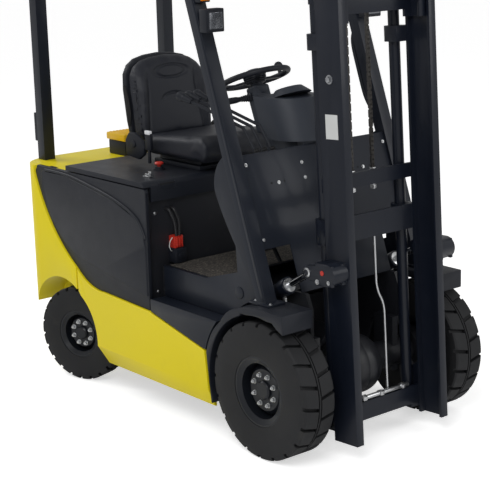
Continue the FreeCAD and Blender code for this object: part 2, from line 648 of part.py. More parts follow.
def steering_wheel():
    a = vec(*COLUMN_FOOT)
    b = vec(*WHEEL_HUB)
    axis = (b - a).normalize()
    ring = Part.makeTorus(152, 13, vec(0, 0, 0), vec(0, 0, 1))
    hub = rod((0, 0, -26), (0, 0, 14), 42)
    spokes = []
    for turn in (90, 210, 330):
        spoke = box((30, 148), (-14, 14), (-12, -3))
        spoke.rotate(vec(0, 0, 0), vec(0, 0, 1), turn)
        spokes.append(spoke)
    knob = rod((0, 152, 5), (0, 152, 26), 9).fuse(Part.makeSphere(20, vec(0, 152, 42)))
    wheel = fused([ring, hub, knob] + spokes)
    turn = FreeCAD.Rotation(vec(0, 0, 1), axis)
    wheel.Placement = FreeCAD.Placement(b, turn)
    add("steering_wheel", wheel)


def lamps():
    """Work lamps on the front pillars with the turn lamps above them."""
    solids = []
    h = PILLAR / 2
    for side in (1, -1):
        z = 1790
        front = pillar_x(z) + h
        arm = box((pillar_x(z - 12) + h + GAP, front + 45), sorted((side * 438, side * 458)), (z - 12, z + 12))
        lamp = box((front + 40, front + 85), sorted((side * 400, side * 495)), (z - 47, z + 48))
        z = 1900
        front = pillar_x(z - 40) + h + GAP
        turn = box((front, front + 36), sorted((side * 412, side * 468)), (z - 40, z + 40))
        solids += [arm.fuse(lamp), turn]
    add("front_lamps", *solids)


def leant(shape):
    """From the mast's own upright frame to its place on the truck."""
    copy = shape.copy()
    copy.rotate(vec(0, 0, 0), vec(0, 1, 0), -MAST_BACK)
    copy.translate(vec(MAST_X, 0, MAST_Z))
    return copy


def mast_local(x, z):
    t = math.radians(MAST_BACK)
    dx, dz = x - MAST_X, z - MAST_Z
    return (dx * math.cos(t) + dz * math.sin(t), dz * math.cos(t) - dx * math.sin(t))


def channel(depth, flange, web, outer_y, d0, h0, h1):
    """Rail of C section, its back towards the outside."""
    block = box((d0, d0 + depth), (outer_y - flange, outer_y), (h0, h1))
    return block.cut(box((d0 + web, d0 + depth - web), (outer_y - flange - 1, outer_y - web), (h0 - 1, h1 + 1)))


INNER_Y = RAIL_Y - RAIL_T - 6.0
INNER_D = 20.0
INNER_DEPTH = RAIL_D - 2 * INNER_D
INNER_T = 12.0
INNER_FLANGE = 52.0


def outer_mast():
    parts = []
    eye_d, eye_h = mast_local(*TILT_EYE)
    piv_d, piv_h = mast_local(*MAST_PIVOT)
    for side in (1, -1):
        rail = channel(RAIL_D, RAIL_FLANGE, RAIL_T, RAIL_Y, 0, 0, OUTER_H)
        if side < 0:
            rail = mirrored(rail)
        parts.append(rail)
        hinge = side_prism([(2, piv_h - 70), (2, piv_h + 90), (piv_d - 5, piv_h + 32), (piv_d - 30, piv_h),
                            (piv_d - 5, piv_h - 32)], *sorted((side * 247, side * 265)))
        hinge = hinge.cut(rod((piv_d, side * 200, piv_h), (piv_d, side * 300, piv_h), 18 + PIN_FIT))
        parts.append(hinge)
        for y0, y1 in ((RAIL_Y - 1, RAIL_Y + 24), (TILT_Y + 22, TILT_Y + 36)):
            lug = side_prism([(RAIL_D - 20, eye_h - 45), (RAIL_D - 20, eye_h + 40), (eye_d, eye_h + 30),
                              ((eye_d - 28, eye_h), (eye_d, eye_h - 30))], *sorted((side * y0, side * y1)))
            parts.append(lug)
        parts.append(rod((eye_d, side * (RAIL_Y + 5), eye_h), (eye_d, side * (TILT_Y + 40), eye_h), TILT_PIN_R))
        housing = [(20, eye_h - 46), (84, eye_h - 46), ((130, eye_h), (84, eye_h + 46)), (20, eye_h + 46)]
        parts.append(side_prism(housing, *sorted((side * (RAIL_Y - 1), side * (TILT_Y + 36)))))
    # Cross ties: height of the lower edge, of the upper edge, front and back faces
    for low, high, front, back in ((45, 125, 4, -14), (820, 925, 0, -16), (OUTER_H - 308, OUTER_H - 180, 0, -16)):
        parts.append(box((back, front), (-RAIL_Y + 8, RAIL_Y - 8), (low, high)))
    for side in (1, -1):
        for low, high in ((820, 925), (OUTER_H - 470, OUTER_H - 405)):
            y = side * CYLINDER_Y
            round_r = CYLINDER_R + 17
            wrap = rod((CYLINDER_D, y, low), (CYLINDER_D, y, high), round_r)
            wrap = wrap.fuse(box((CYLINDER_D, 1), (y - round_r, y + round_r), (low, high)))
            bore = rod((CYLINDER_D, y, low - 1), (CYLINDER_D, y, high + 1), CYLINDER_R + GAP)
            parts.append(wrap.cut(bore))
        parts.append(box((CYLINDER_D - 30, 0), sorted((side * (CYLINDER_Y - 30), side * (CYLINDER_Y + 30))), (28, 48)))
    parts.append(box((-60, 0), (-CHAIN_Y - 25, -CHAIN_Y + 25), (1050, 1085)))
    parts.append(box((-60, 0), (CHAIN_Y - 25, CHAIN_Y + 25), (1050, 1085)))
    parts.append(box((-16, 0), (-RAIL_Y + 8, RAIL_Y - 8), (1040, 1100)))
    add("outer_mast", leant(fused(parts)))


def lift_cylinders():
    barrels = []
    rods = []
    for side in (1, -1):
        y = side * CYLINDER_Y
        barrel = tube((CYLINDER_D, y, 48 + GAP), (CYLINDER_D, y, OUTER_H - 235), CYLINDER_R, CYLINDER_ROD_R + 1.5)
        foot = rod((CYLINDER_D, y, 48 + GAP), (CYLINDER_D, y, 62), CYLINDER_R)
        gland = tube((CYLINDER_D, y, OUTER_H - 290), (CYLINDER_D, y, OUTER_H - 230), CYLINDER_R + 5, CYLINDER_ROD_R + GAP)
        barrels.append(leant(fused([barrel, foot, gland])))
        rods.append(leant(rod((CYLINDER_D, y, OUTER_H - 310), (CYLINDER_D, y, LIFT + INNER_H - 60), CYLINDER_ROD_R)))
    add("lift_cylinders", *barrels)
    add("lift_rods", *rods)


INNER_LOW = 12.0


def inner_mast():
    parts = []
    low = INNER_LOW + LIFT
    high = low + INNER_H
    for side in (1, -1):
        rail = channel(INNER_DEPTH, INNER_FLANGE, INNER_T, INNER_Y, INNER_D, low, high)
        parts.append(rail if side > 0 else mirrored(rail))
        parts.append(box((CYLINDER_D - 32, INNER_D + 6), sorted((side * (CYLINDER_Y - 32), side * (CYLINDER_Y + 32))),
                         (high - 72 + GAP, high - 47)))
    parts.append(box((INNER_D, INNER_D + 12), (-INNER_Y + 5, INNER_Y - 5), (high - 170, high)))
    parts.append(box((INNER_D, INNER_D + 12), (-INNER_Y + 5, INNER_Y - 5), (low + 30, low + 110)))
    for side in (1, -1):
        for y in (CHAIN_Y - 20, CHAIN_Y + 20):
            parts.append(box((-20, INNER_D + 2), sorted((side * (y - 4), side * (y + 4))), (high - 100, high - 20)))
    slots = [box((INNER_D - 5, INNER_D + 20), (y - 16, y + 16), (high - 128, high + 5)) for y in (-CHAIN_Y, CHAIN_Y)]
    add("inner_mast", leant(fused(parts).cut(Part.makeCompound(slots))))
    sheaves = []
    for side in (1, -1):
        y = side * CHAIN_Y
        sheaves.append(rod((15, y - 15, high - 60), (15, y + 15, high - 60), SHEAVE_R))
    add("chain_sheaves", *[leant(s) for s in sheaves])


CARRIAGE_LOW = 55.0


def carriage():
    """Roller brackets and the two fork bars, the load backrest and the forks."""
    low = CARRIAGE_LOW + 2 * LIFT
    rail_in = INNER_Y - INNER_FLANGE
    front = RAIL_D + 22
    parts = []
    for side in (1, -1):
        parts.append(box((INNER_D + 30, front), sorted((side * (rail_in - 26), side * (rail_in - 6))), (low + 20, low + 360)))
        for h in (low + 60, low + 310):
            parts.append(rod((INNER_D + INNER_DEPTH / 2, side * (rail_in - 10), h),
                             (INNER_D + INNER_DEPTH / 2, side * (INNER_Y - INNER_T - 3), h), INNER_DEPTH / 2 - INNER_T - GAP))
    for h in (low, low + 300):
        parts.append(box((front, front + 30), (-500, 500), (h, h + 90)))
    add("fork_carriage", leant(fused(parts)))
    rest = []
    for y in (-490, -250, 0, 250, 490):
        rest.append(box((front + 8, front + 26), (y - 10, y + 10), (low + 390 + GAP, low + 990)))
    rest.append(box((front + 8, front + 26), (-500, 500), (low + 970, low + 992)))
    add("load_backrest", leant(fused(rest)))
    forks = []
    for side in (1, -1):
        y = side * FORK_Y
        heel = front + 30 + GAP
        profile = [(heel, low + 400), (heel, low - 5), ((heel + 6, low - 29), (heel + 30, low - 35)),
                   (heel + FORK_T + FORK_L - 10, low - 35), (heel + FORK_T + FORK_L, low - 28),
                   (heel + FORK_T + 60, low), ((heel + FORK_T + 8, low + 8), (heel + FORK_T, low + 40)),
                   (heel + FORK_T, low + 400)]
        forks.append(side_prism(profile, y - FORK_W / 2, y + FORK_W / 2))
    add("forks", *[leant(f) for f in forks])


def chains():
    """Leaf chains from the anchors up behind the mast to the sheaves."""
    low = 1085 + GAP
    high = INNER_LOW + LIFT + INNER_H - 60
    d = 15 - SHEAVE_R - GAP
    strands = [box((d - 12, d), (side * CHAIN_Y - 9, side * CHAIN_Y + 9), (low, high)) for side in (1, -1)]
    add("lift_chains", *[leant(s) for s in strands])


def tilt_cylinders():
    rear = (TILT_REAR[0], TILT_REAR[1])
    length = math.dist(TILT_REAR, TILT_EYE)
    lean = math.degrees(math.atan2(TILT_EYE[1] - TILT_REAR[1], TILT_EYE[0] - TILT_REAR[0]))
    eye = rod((0, -20, 0), (0, 20, 0), 26)
    barrel = fused([eye, box((0, 40), (-18, 18), (-20, 20)), rod((34, 0, 0), (285, 0, 0), TILT_BARREL_R), rod((270, 0, 0), (315, 0, 0), TILT_BARREL_R + 3)])
    barrel = barrel.cut(rod((60, 0, 0), (320, 0, 0), TILT_ROD_R + GAP))
    barrel = barrel.cut(rod((0, -30, 0), (0, 30, 0), TILT_PIN_R + PIN_FIT))
    head = fused([rod((length, -18, 0), (length, 18, 0), 24), rod((180, 0, 0), (length - 10, 0, 0), TILT_ROD_R)])
    head = head.cut(rod((length, -30, 0), (length, 30, 0), TILT_PIN_R + EYE_ROOM))
    for side, name in ((1, "left"), (-1, "right")):
        for piece, shape in (("barrel", barrel), ("rod", head)):
            copy = shape if side > 0 else mirrored(shape)
            copy = copy.copy()
            copy.rotate(vec(0, 0, 0), vec(0, 1, 0), -lean)
            add("tilt_%s_%s" % (piece, name), moved(copy, rear[0], side * TILT_Y, rear[1]))


def plug():
    """Battery connector with its handle, on the front of the compartment."""
    x = -780 + GAP
    add("battery_plug", fused([box((x, x + 45), (-380, -330), (748, 805)), box((x, x + 60), (-385, -325), (682, 750))]))


def save_all():
    low = min(s.BoundBox.XMin for group in PIECES.values() for s in group)
    high = max(s.BoundBox.XMax for group in PIECES.values() for s in group)
    middle = (low + high) / 2
    print("middle", middle)
    for name, solids in PIECES.items():
        group = Part.makeCompound(solids) if len(solids) > 1 else solids[0].copy()
        group.translate(vec(-middle, 0, 0))
        group.exportStep("parts/%s.step" % name)
        state = "ok" if group.isValid() else "INVALID"
        print(name, len(solids), state, round(group.Volume / 1e6, 2))


for build in (wheel_sets, knuckles, steer_axle, drive_axle, frame, skirts, panels, counterweight, battery, hood,
              seat, floor, side_plates, fenders, guard, cowl, controls, steering_wheel, lamps, outer_mast,
              lift_cylinders, inner_mast, carriage, chains, tilt_cylinders, plug, fittings):
    build()
save_all()
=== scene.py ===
"""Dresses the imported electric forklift: finishes, fittings, soft seat, light and camera."""

import json
import logging
import math
from collections.abc import Iterable, Sequence
from dataclasses import dataclass, field
from enum import Enum

import bmesh
import bpy
from bmesh.types import BMesh, BMVert
from bpy.types import Material, Node, NodeSocket, NodeTree, Object
from mathutils import Matrix, Vector

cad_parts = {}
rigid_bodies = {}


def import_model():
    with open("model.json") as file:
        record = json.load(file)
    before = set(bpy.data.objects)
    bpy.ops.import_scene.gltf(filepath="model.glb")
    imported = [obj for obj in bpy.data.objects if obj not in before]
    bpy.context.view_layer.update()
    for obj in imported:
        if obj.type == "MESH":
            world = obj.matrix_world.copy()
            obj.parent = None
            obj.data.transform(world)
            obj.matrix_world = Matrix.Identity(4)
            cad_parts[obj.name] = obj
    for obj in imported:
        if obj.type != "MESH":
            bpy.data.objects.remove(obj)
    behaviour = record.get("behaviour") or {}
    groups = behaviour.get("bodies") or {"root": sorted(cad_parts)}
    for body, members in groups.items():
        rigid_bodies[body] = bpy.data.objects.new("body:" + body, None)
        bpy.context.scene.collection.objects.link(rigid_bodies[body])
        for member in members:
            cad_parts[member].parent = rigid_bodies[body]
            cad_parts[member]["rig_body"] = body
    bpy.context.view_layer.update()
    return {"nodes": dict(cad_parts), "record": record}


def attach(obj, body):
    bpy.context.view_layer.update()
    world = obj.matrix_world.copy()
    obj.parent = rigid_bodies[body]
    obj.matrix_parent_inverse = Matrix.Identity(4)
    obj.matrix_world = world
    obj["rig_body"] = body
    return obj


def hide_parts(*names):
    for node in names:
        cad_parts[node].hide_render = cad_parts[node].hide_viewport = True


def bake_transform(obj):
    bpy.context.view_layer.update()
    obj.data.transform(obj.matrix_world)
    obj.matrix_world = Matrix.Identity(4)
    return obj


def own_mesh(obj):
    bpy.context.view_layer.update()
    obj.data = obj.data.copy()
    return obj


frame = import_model()

log = logging.getLogger("forklift")

Pair = tuple[float, float]

# Front axle in the frame, in metres
AXLE_X = 0.2698468
# Least angle of an edge that is rounded or stays sharp
SHARP = math.radians(28)
# Foot of the mast (x, z) in millimetres, and how far the mast leans back
MAST_FOOT = (190.0, 69.0)
MAST_BACK = math.radians(2.85)
# Foot of the front pillars (x, z) in millimetres, and how far they lean back for each millimetre of height
PILLAR_FOOT = (-21.0, 642.0)
PILLAR_LEAN = 0.345
UP = Vector((0.0, 0.0, 1.0))


def at(x: float, y: float, z: float) -> Vector:
    """Gives a point of the truck, in millimetres from the front axle and the floor, in the frame."""
    return Vector((x / 1000 + AXLE_X, y / 1000, z / 1000))


def on_mast(depth: float, y: float, height: float) -> Vector:
    """Gives a point of the leant mast from its place in the upright mast.

    Args:
        depth: Distance in front of the mast's foot, in millimetres.
        y: Distance to the left of the middle, in millimetres.
        height: Distance above the mast's foot, in millimetres.

    Returns:
        The point in the frame, in metres.
    """
    x = MAST_FOOT[0] + depth * math.cos(MAST_BACK) - height * math.sin(MAST_BACK)
    z = MAST_FOOT[1] + depth * math.sin(MAST_BACK) + height * math.cos(MAST_BACK)
    return at(x, y, z)


def pillar_x(z: float) -> float:
    """Gives where the front pillars stand at a height, both in millimetres."""
    return PILLAR_FOOT[0] - PILLAR_LEAN * (z - PILLAR_FOOT[1])


def along(start: Vector, end: Vector, share: float) -> Vector:
    """Gives the point at a share of the way from start to end."""
    return start + (end - start) * share


class Relief(Enum):
    """Fine surface structure of a finish."""

    PEEL = "orange peel of sprayed paint"
    GRAIN = "moulded or cast grain"
    BRUSHED = "fine parallel scratches"
    HIDE = "grain of seat vinyl"
    SMOOTH = "polished"


@dataclass(frozen=True)
class Finish:
    """A surface finish that is built as a node material.

    Attributes:
        name: Name of the material.
        colour: Linear base colour.
        roughness: Mean roughness.
        metallic: Share of bare metal.
        coat: Weight of the clear coat.
        relief: Kind of fine structure.
        relief_scale: Number of grains in a metre.
        relief_depth: Strength of the bump.
        drift: How far the colour wanders over the piece.
        grime: Linear colour that settles in patches.
        grime_share: How much of the surface the patches cover.
        grime_scale: Number of patches in a metre.
        grime_from: Value of the noise at which the patches begin.
        shine: Specular level; 0.5 is plain plastic.
    """

    name: str
    colour: tuple[float, float, float]
    roughness: float = 0.4
    metallic: float = 0.0
    coat: float = 0.0
    relief: Relief = Relief.PEEL
    relief_scale: float = 260.0
    relief_depth: float = 0.06
    drift: float = 0.08
    grime: tuple[float, float, float] = (0.16, 0.15, 0.13)
    grime_share: float = 0.05
    grime_scale: float = 9.0
    grime_from: float = 0.62
    shine: float = 0.5

    def material(self) -> Material:
        """Gives the node material of this finish, made once.

        Returns:
            The material.
        """
        label = "finish_" + self.name
        made = bpy.data.materials.get(label)
        if made:
            return made
        made = bpy.data.materials.new(label)
        made.use_nodes = True
        tree = made.node_tree
        shader = tree.nodes["Principled BSDF"]
        place = tree.nodes.new("ShaderNodeTexCoord").outputs["Object"]
        self._paint(tree, shader, place)
        self._bump(tree, shader, place)
        shader.inputs["Metallic"].default_value = self.metallic
        shader.inputs["Coat Weight"].default_value = self.coat
        shader.inputs["Coat Roughness"].default_value = 0.12
        shader.inputs["Specular IOR Level"].default_value = self.shine
        made.diffuse_color = (*self.colour, 1)
        return made

    def _paint(self, tree: NodeTree, shader: Node, place: NodeSocket) -> None:
        """Links the wandering colour, the grime and the roughness.

        Args:
            tree: Node tree of the material.
            shader: Its principled shader.
            place: Coordinates that the pattern reads.
        """
        wander = noise(tree, place, 3.1, 4)
        tone = tree.nodes.new("ShaderNodeMix")
        tone.data_type = "RGBA"
        low = tuple(c * (1 - self.drift) for c in self.colour)
        high = tuple(min(c * (1 + self.drift) + 0.004 * self.drift, 1) for c in self.colour)
        tone.inputs["A"].default_value = (*low, 1)
        tone.inputs["B"].default_value = (*high, 1)
        tree.links.new(wander, tone.inputs["Factor"])
        stains = noise(tree, place, self.grime_scale, 8)
        patches = ramp(tree, stains, self.grime_from, 0.80, self.grime_share)
        dirt = tree.nodes.new("ShaderNodeMix")
        dirt.data_type = "RGBA"
        dirt.inputs["B"].default_value = (*self.grime, 1)
        tree.links.new(patches, dirt.inputs["Factor"])
        tree.links.new(tone.outputs["Result"], dirt.inputs["A"])
        tree.links.new(dirt.outputs["Result"], shader.inputs["Base Color"])
        smear = tree.nodes.new("ShaderNodeMapRange")
        smear.inputs["To Min"].default_value = max(self.roughness - 0.07, 0.04)
        smear.inputs["To Max"].default_value = min(self.roughness + 0.10, 1.0)
        tree.links.new(noise(tree, place, 14.0, 6), smear.inputs["Value"])
        tree.links.new(smear.outputs["Result"], shader.inputs["Roughness"])

    def _bump(self, tree: NodeTree, shader: Node, place: NodeSocket) -> None:
        """Links the fine structure to the shader's normal.

        Args:
            tree: Node tree of the material.
            shader: Its principled shader.
            place: Coordinates that the pattern reads.
        """
        if self.relief is Relief.SMOOTH:
            return
        height = self._height(tree, place)
        bump = tree.nodes.new("ShaderNodeBump")
        bump.inputs["Strength"].default_value = self.relief_depth
        bump.inputs["Distance"].default_value = 0.001
        tree.links.new(height, bump.inputs["Height"])
        tree.links.new(bump.outputs["Normal"], shader.inputs["Normal"])

    def _height(self, tree: NodeTree, place: NodeSocket) -> NodeSocket:
        """Gives the height pattern of the relief.

        Args:
            tree: Node tree of the material.
            place: Coordinates that the pattern reads.

        Returns:
            The socket with the height.
        """
        if self.relief is Relief.HIDE:
            cells = tree.nodes.new("ShaderNodeTexVoronoi")
            cells.feature = "DISTANCE_TO_EDGE"
            cells.inputs["Scale"].default_value = self.relief_scale
            tree.links.new(place, cells.inputs["Vector"])
            return ramp(tree, cells.outputs["Distance"], 0.0, 0.22, 1.0)
        if self.relief is Relief.BRUSHED:
            stretch = tree.nodes.new("ShaderNodeMapping")
            stretch.inputs["Scale"].default_value = (1.0, 1.0, 0.03)
            tree.links.new(place, stretch.inputs["Vector"])
            return noise(tree, stretch.outputs["Vector"], self.relief_scale, 3)
        detail = 2 if self.relief is Relief.PEEL else 9
        return noise(tree, place, self.relief_scale, detail)


def noise(tree: NodeTree, place: NodeSocket, scale: float, detail: float) -> NodeSocket:
    """Adds a noise texture.

    Args:
        tree: Node tree of the material.
        place: Coordinates that it reads.
        scale: Number of waves in a metre.
        detail: Number of finer octaves.

    Returns:
        The socket with its value.
    """
    node = tree.nodes.new("ShaderNodeTexNoise")
    node.inputs["Scale"].default_value = scale
    node.inputs["Detail"].default_value = detail
    tree.links.new(place, node.inputs["Vector"])
    return node.outputs["Fac"]


def ramp(tree: NodeTree, value: NodeSocket, low: float, high: float, top: float) -> NodeSocket:
    """Adds a node that lifts a value from nought to a top value.

    Args:
        tree: Node tree of the material.
        value: Socket with the value.
        low: Value that becomes nought.
        high: Value that becomes the top value.
        top: The top value.

    Returns:
        The socket with the result.
    """
    node = tree.nodes.new("ShaderNodeMapRange")
    node.inputs["From Min"].default_value = low
    node.inputs["From Max"].default_value = high
    node.inputs["To Max"].default_value = top
    tree.links.new(value, node.inputs["Value"])
    return node.outputs["Result"]


YELLOW = Finish("yellow_paint", (0.80, 0.66, 0.008), 0.36, coat=0.05, drift=0.03, grime_share=0.05,
                shine=0.25)
BLACK = Finish("black_paint", (0.008, 0.011, 0.019), 0.42, coat=0.08, relief_scale=420, drift=0.25,
               grime=(0.040, 0.044, 0.055), grime_share=0.2, shine=0.3)
MAST_BLACK = Finish("mast_paint", (0.006, 0.0085, 0.016), 0.36, coat=0.12, drift=0.2,
                    grime=(0.025, 0.028, 0.038), grime_share=0.2, shine=0.3)
RIM_BLACK = Finish("rim_paint", (0.007, 0.0085, 0.012), 0.38, coat=0.08, drift=0.2, grime=(0.030, 0.029, 0.028),
                   grime_share=0.2, shine=0.3)
PANEL = Finish("moulded_panel", (0.010, 0.012, 0.018), 0.46, relief=Relief.GRAIN, relief_scale=900,
               relief_depth=0.25, drift=0.2, grime=(0.032, 0.034, 0.042), grime_share=0.2, shine=0.32)
GREY = Finish("grey_plastic", (0.024, 0.029, 0.040), 0.5, relief=Relief.GRAIN, relief_scale=900,
              relief_depth=0.25, grime=(0.06, 0.062, 0.07), grime_share=0.2, shine=0.35)
CAST = Finish("painted_casting", (0.80, 0.66, 0.008), 0.40, coat=0.05, relief=Relief.GRAIN, relief_scale=60,
              relief_depth=0.10, drift=0.04, shine=0.25)
AXLE = Finish("axle_casting", (0.012, 0.013, 0.017), 0.45, relief=Relief.GRAIN, relief_scale=180,
              relief_depth=0.5, drift=0.3, grime=(0.07, 0.065, 0.06), grime_share=0.3)
STEEL = Finish("ground_steel", (0.42, 0.43, 0.45), 0.34, metallic=1.0, relief=Relief.BRUSHED, relief_depth=0.12,
               relief_scale=500, drift=0.12, grime=(0.12, 0.10, 0.08), grime_share=0.15)
ZINC = Finish("zinc_plate", (0.62, 0.63, 0.64), 0.28, metallic=1.0, relief=Relief.GRAIN, relief_depth=0.06,
              drift=0.1, grime=(0.3, 0.28, 0.24), grime_share=0.1)
CHROME = Finish("hard_chrome", (0.72, 0.73, 0.75), 0.10, metallic=1.0, relief=Relief.SMOOTH, drift=0.03,
                grime_share=0.02)
FORK_STEEL = Finish("fork_paint", (0.012, 0.013, 0.016), 0.4, relief=Relief.BRUSHED, relief_depth=0.15,
                    drift=0.3, grime=(0.20, 0.19, 0.18), grime_share=0.5)
RUBBER = Finish("tyre_rubber", (0.014, 0.0145, 0.016), 0.62, relief=Relief.GRAIN, relief_scale=500,
                relief_depth=0.35, drift=0.3, grime=(0.045, 0.042, 0.038), grime_share=0.45, shine=0.28)
HOSE = Finish("hose_rubber", (0.010, 0.010, 0.012), 0.5, relief=Relief.GRAIN, relief_scale=900,
              relief_depth=0.2)
VINYL = Finish("seat_vinyl", (0.013, 0.015, 0.022), 0.44, relief=Relief.HIDE, relief_scale=420,
               relief_depth=0.25, drift=0.12, grime=(0.040, 0.042, 0.052), grime_share=0.12, shine=0.38)
CHAIN = Finish("oiled_chain", (0.10, 0.095, 0.09), 0.35, metallic=1.0, relief=Relief.GRAIN, drift=0.35,
               grime=(0.03, 0.022, 0.016), grime_share=0.6)
RED = Finish("red_plastic", (0.50, 0.030, 0.018), 0.35, relief=Relief.GRAIN, drift=0.08)
AMBER = Finish("amber_lid", (0.78, 0.48, 0.010), 0.35, relief=Relief.GRAIN, drift=0.05)
LENS = Finish("lamp_lens", (0.16, 0.17, 0.19), 0.16, metallic=0.7, relief=Relief.GRAIN, relief_scale=160,
              relief_depth=1.0, coat=0.8)
ORANGE = Finish("turn_lens", (0.85, 0.22, 0.008), 0.18, relief=Relief.GRAIN, relief_scale=200,
                  relief_depth=0.4)
RED_LENS = Finish("tail_lens", (0.55, 0.010, 0.008), 0.18, relief=Relief.GRAIN, relief_scale=200,
                  relief_depth=0.4)
# Near-black fill put in holes, slots, notches and recesses: painted shade that stands for the shade inside
# them.
PAINTED_SHADE = Finish("painted_shade_openings", (0.002, 0.002, 0.003), 0.8, relief=Relief.SMOOTH, grime_share=0.0)
GLASS = Finish("display_glass", (0.010, 0.014, 0.016), 0.08, relief=Relief.SMOOTH, coat=0.8, grime_share=0.0)
CAST_LEAD = Finish("cell_lead", (0.30, 0.31, 0.33), 0.5, metallic=0.8, relief=Relief.GRAIN)
LABEL = Finish("blank_label", (0.62, 0.63, 0.62), 0.4, relief=Relief.SMOOTH)
MAT = Finish("floor_mat", (0.030, 0.027, 0.025), 0.85, relief=Relief.GRAIN, relief_scale=260, relief_depth=1.0,
             drift=0.5, grime=(0.20, 0.175, 0.14), grime_share=0.9, grime_scale=120.0, grime_from=0.46)
TAG = Finish("white_tag", (0.80, 0.81, 0.83), 0.5, relief=Relief.SMOOTH)
BATTERY = Finish("battery_case", (0.05, 0.055, 0.065), 0.5, relief=Relief.GRAIN)


class Shape:
    """A mesh under construction, in metres in the frame, made with bmesh operators."""

    def __init__(self) -> None:
        """Starts an empty mesh."""
        self.mesh: BMesh = bmesh.new()

    def soften(self, verts: Iterable[BMVert], width: float, segments: int = 2) -> None:
        """Rounds the sharp edges among some vertices.

        Args:
            verts: Vertices whose edges are looked at.
            width: Width of the rounding in metres.
            segments: Number of strips across it.
        """
        faces = {f for v in verts for f in v.link_faces}
        edges = {e for f in faces for e in f.edges if len(e.link_faces) == 2 and e.calc_face_angle(0) > SHARP}
        if edges and width > 0:
            bmesh.ops.bevel(self.mesh, geom=list(edges), offset=width, offset_type="OFFSET", segments=segments,
                            profile=0.5, affect="EDGES", material=-1, clamp_overlap=True)

    def bar(self, start: Vector, end: Vector, radius: float, top: float | None = None, sides: int = 24,
            edge: float = 0.0) -> "Shape":
        """Adds a round bar or cone from start to end.

        Args:
            start: Centre of the first end.
            end: Centre of the second end.
            radius: Radius at the first end.
            top: Radius at the second end, if it differs.
            sides: Number of sides; 6 gives a hexagon.
            edge: Width of the rounding of its rims.

        Returns:
            This shape.
        """
        way = end - start
        turn = UP.rotation_difference(way).to_matrix().to_4x4()
        made = bmesh.ops.create_cone(self.mesh, cap_ends=True, segments=sides, radius1=radius,
                                     radius2=radius if top is None else top, depth=way.length,
                                     matrix=Matrix.Translation((start + end) / 2) @ turn)
        self.soften(made["verts"], edge)
        return self

    def block(self, low: Vector, high: Vector, edge: float = 0.0, turn: Matrix | None = None) -> "Shape":
        """Adds a block between two corners.

        Args:
            low: Lowest corner.
            high: Highest corner.
            edge: Width of the rounding of its edges.
            turn: Turn about the block's centre, if any.

        Returns:
            This shape.
        """
        size = high - low
        way = turn or Matrix.Identity(4)
        place = Matrix.Translation((low + high) / 2) @ way @ Matrix.Diagonal((*size, 1))
        made = bmesh.ops.create_cube(self.mesh, size=1, matrix=place)
        self.soften(made["verts"], edge)
        return self

    def crate(self, x: Pair, y: Pair, z: Pair, edge: float = 0.0015) -> "Shape":
        """Adds a block between two values, in millimetres, along each of the truck's axes."""
        return self.block(at(min(x), min(y), min(z)), at(max(x), max(y), max(z)), edge)

    def bellows(self, foot: Vector, tip: Vector, wide: float, narrow: float, folds: int) -> "Shape":
        """Adds a folded rubber boot.

        Args:
            foot: Centre of its wide end.
            tip: Centre of its narrow end.
            wide: Radius of the folds at the foot.
            narrow: Radius of the folds at the tip.
            folds: Number of folds.

        Returns:
            This shape.
        """
        reach = (tip - foot).length
        profile = [(wide * 0.3, 0.0)]
        for i in range(folds * 2 + 1):
            share = i / (folds * 2)
            radius = wide + (narrow - wide) * share
            profile.append((radius * (1.0 if i % 2 == 0 else 0.78), reach * share))
        profile.append((wide * 0.3, reach))
        return self.spun(profile, foot, tip - foot, 28)

    def leaf(self, foot: Vector, tip: Vector, across: Vector, width: float, pitch: float = 0.019) -> "Shape":
        """Adds a leaf chain: rows of link plates on pins.

        Args:
            foot: Middle of the chain's first end.
            tip: Middle of its other end.
            across: Direction of its pins.
            width: Length of the pins.
            pitch: Distance of the pins.

        Returns:
            This shape.
        """
        way = (tip - foot).normalized()
        side = across.normalized()
        out = way.cross(side)
        count = max(int((tip - foot).length / pitch), 1)
        step = (tip - foot).length / count
        for i in range(count):
            middle = foot + way * step * (i + 0.5)
            for j in range(5):
                if (i + j) % 2:
                    continue
                shift = side * width * (j - 2) * 0.19
                size = (width * 0.15, 0.0105, step * 1.62)
                turn = Matrix((side, out, way)).transposed().to_4x4()
                place = Matrix.Translation(middle + shift) @ turn @ Matrix.Diagonal((*size, 1))
                bmesh.ops.create_cube(self.mesh, size=1, matrix=place)
            pin = foot + way * step * i
            self.bar(pin - side * width * 0.46, pin + side * width * 0.46, 0.0032, sides=6)
        return self

    def spun(self, profile: Sequence[Pair], centre: Vector, axis: Vector, steps: int = 48) -> "Shape":
        """Adds a closed profile turned about an axis.

        Args:
            profile: Distances (from the axis, along it) of the profile's corners, in metres.
            centre: Point on the axis where the second distance is nought.
            axis: Direction of the axis.
            steps: Number of facets round it.

        Returns:
            This shape.
        """
        way = axis.normalized()
        side = way.orthogonal().normalized()
        verts = [self.mesh.verts.new(centre + side * r + way * h) for r, h in profile]
        edges = [self.mesh.edges.new((a, b)) for a, b in zip(verts, verts[1:] + verts[:1])]
        bmesh.ops.spin(self.mesh, geom=verts + edges, cent=centre, axis=way, angle=math.tau, steps=steps,
                       use_merge=True)
        bmesh.ops.remove_doubles(self.mesh, verts=self.mesh.verts, dist=1e-6)
        return self

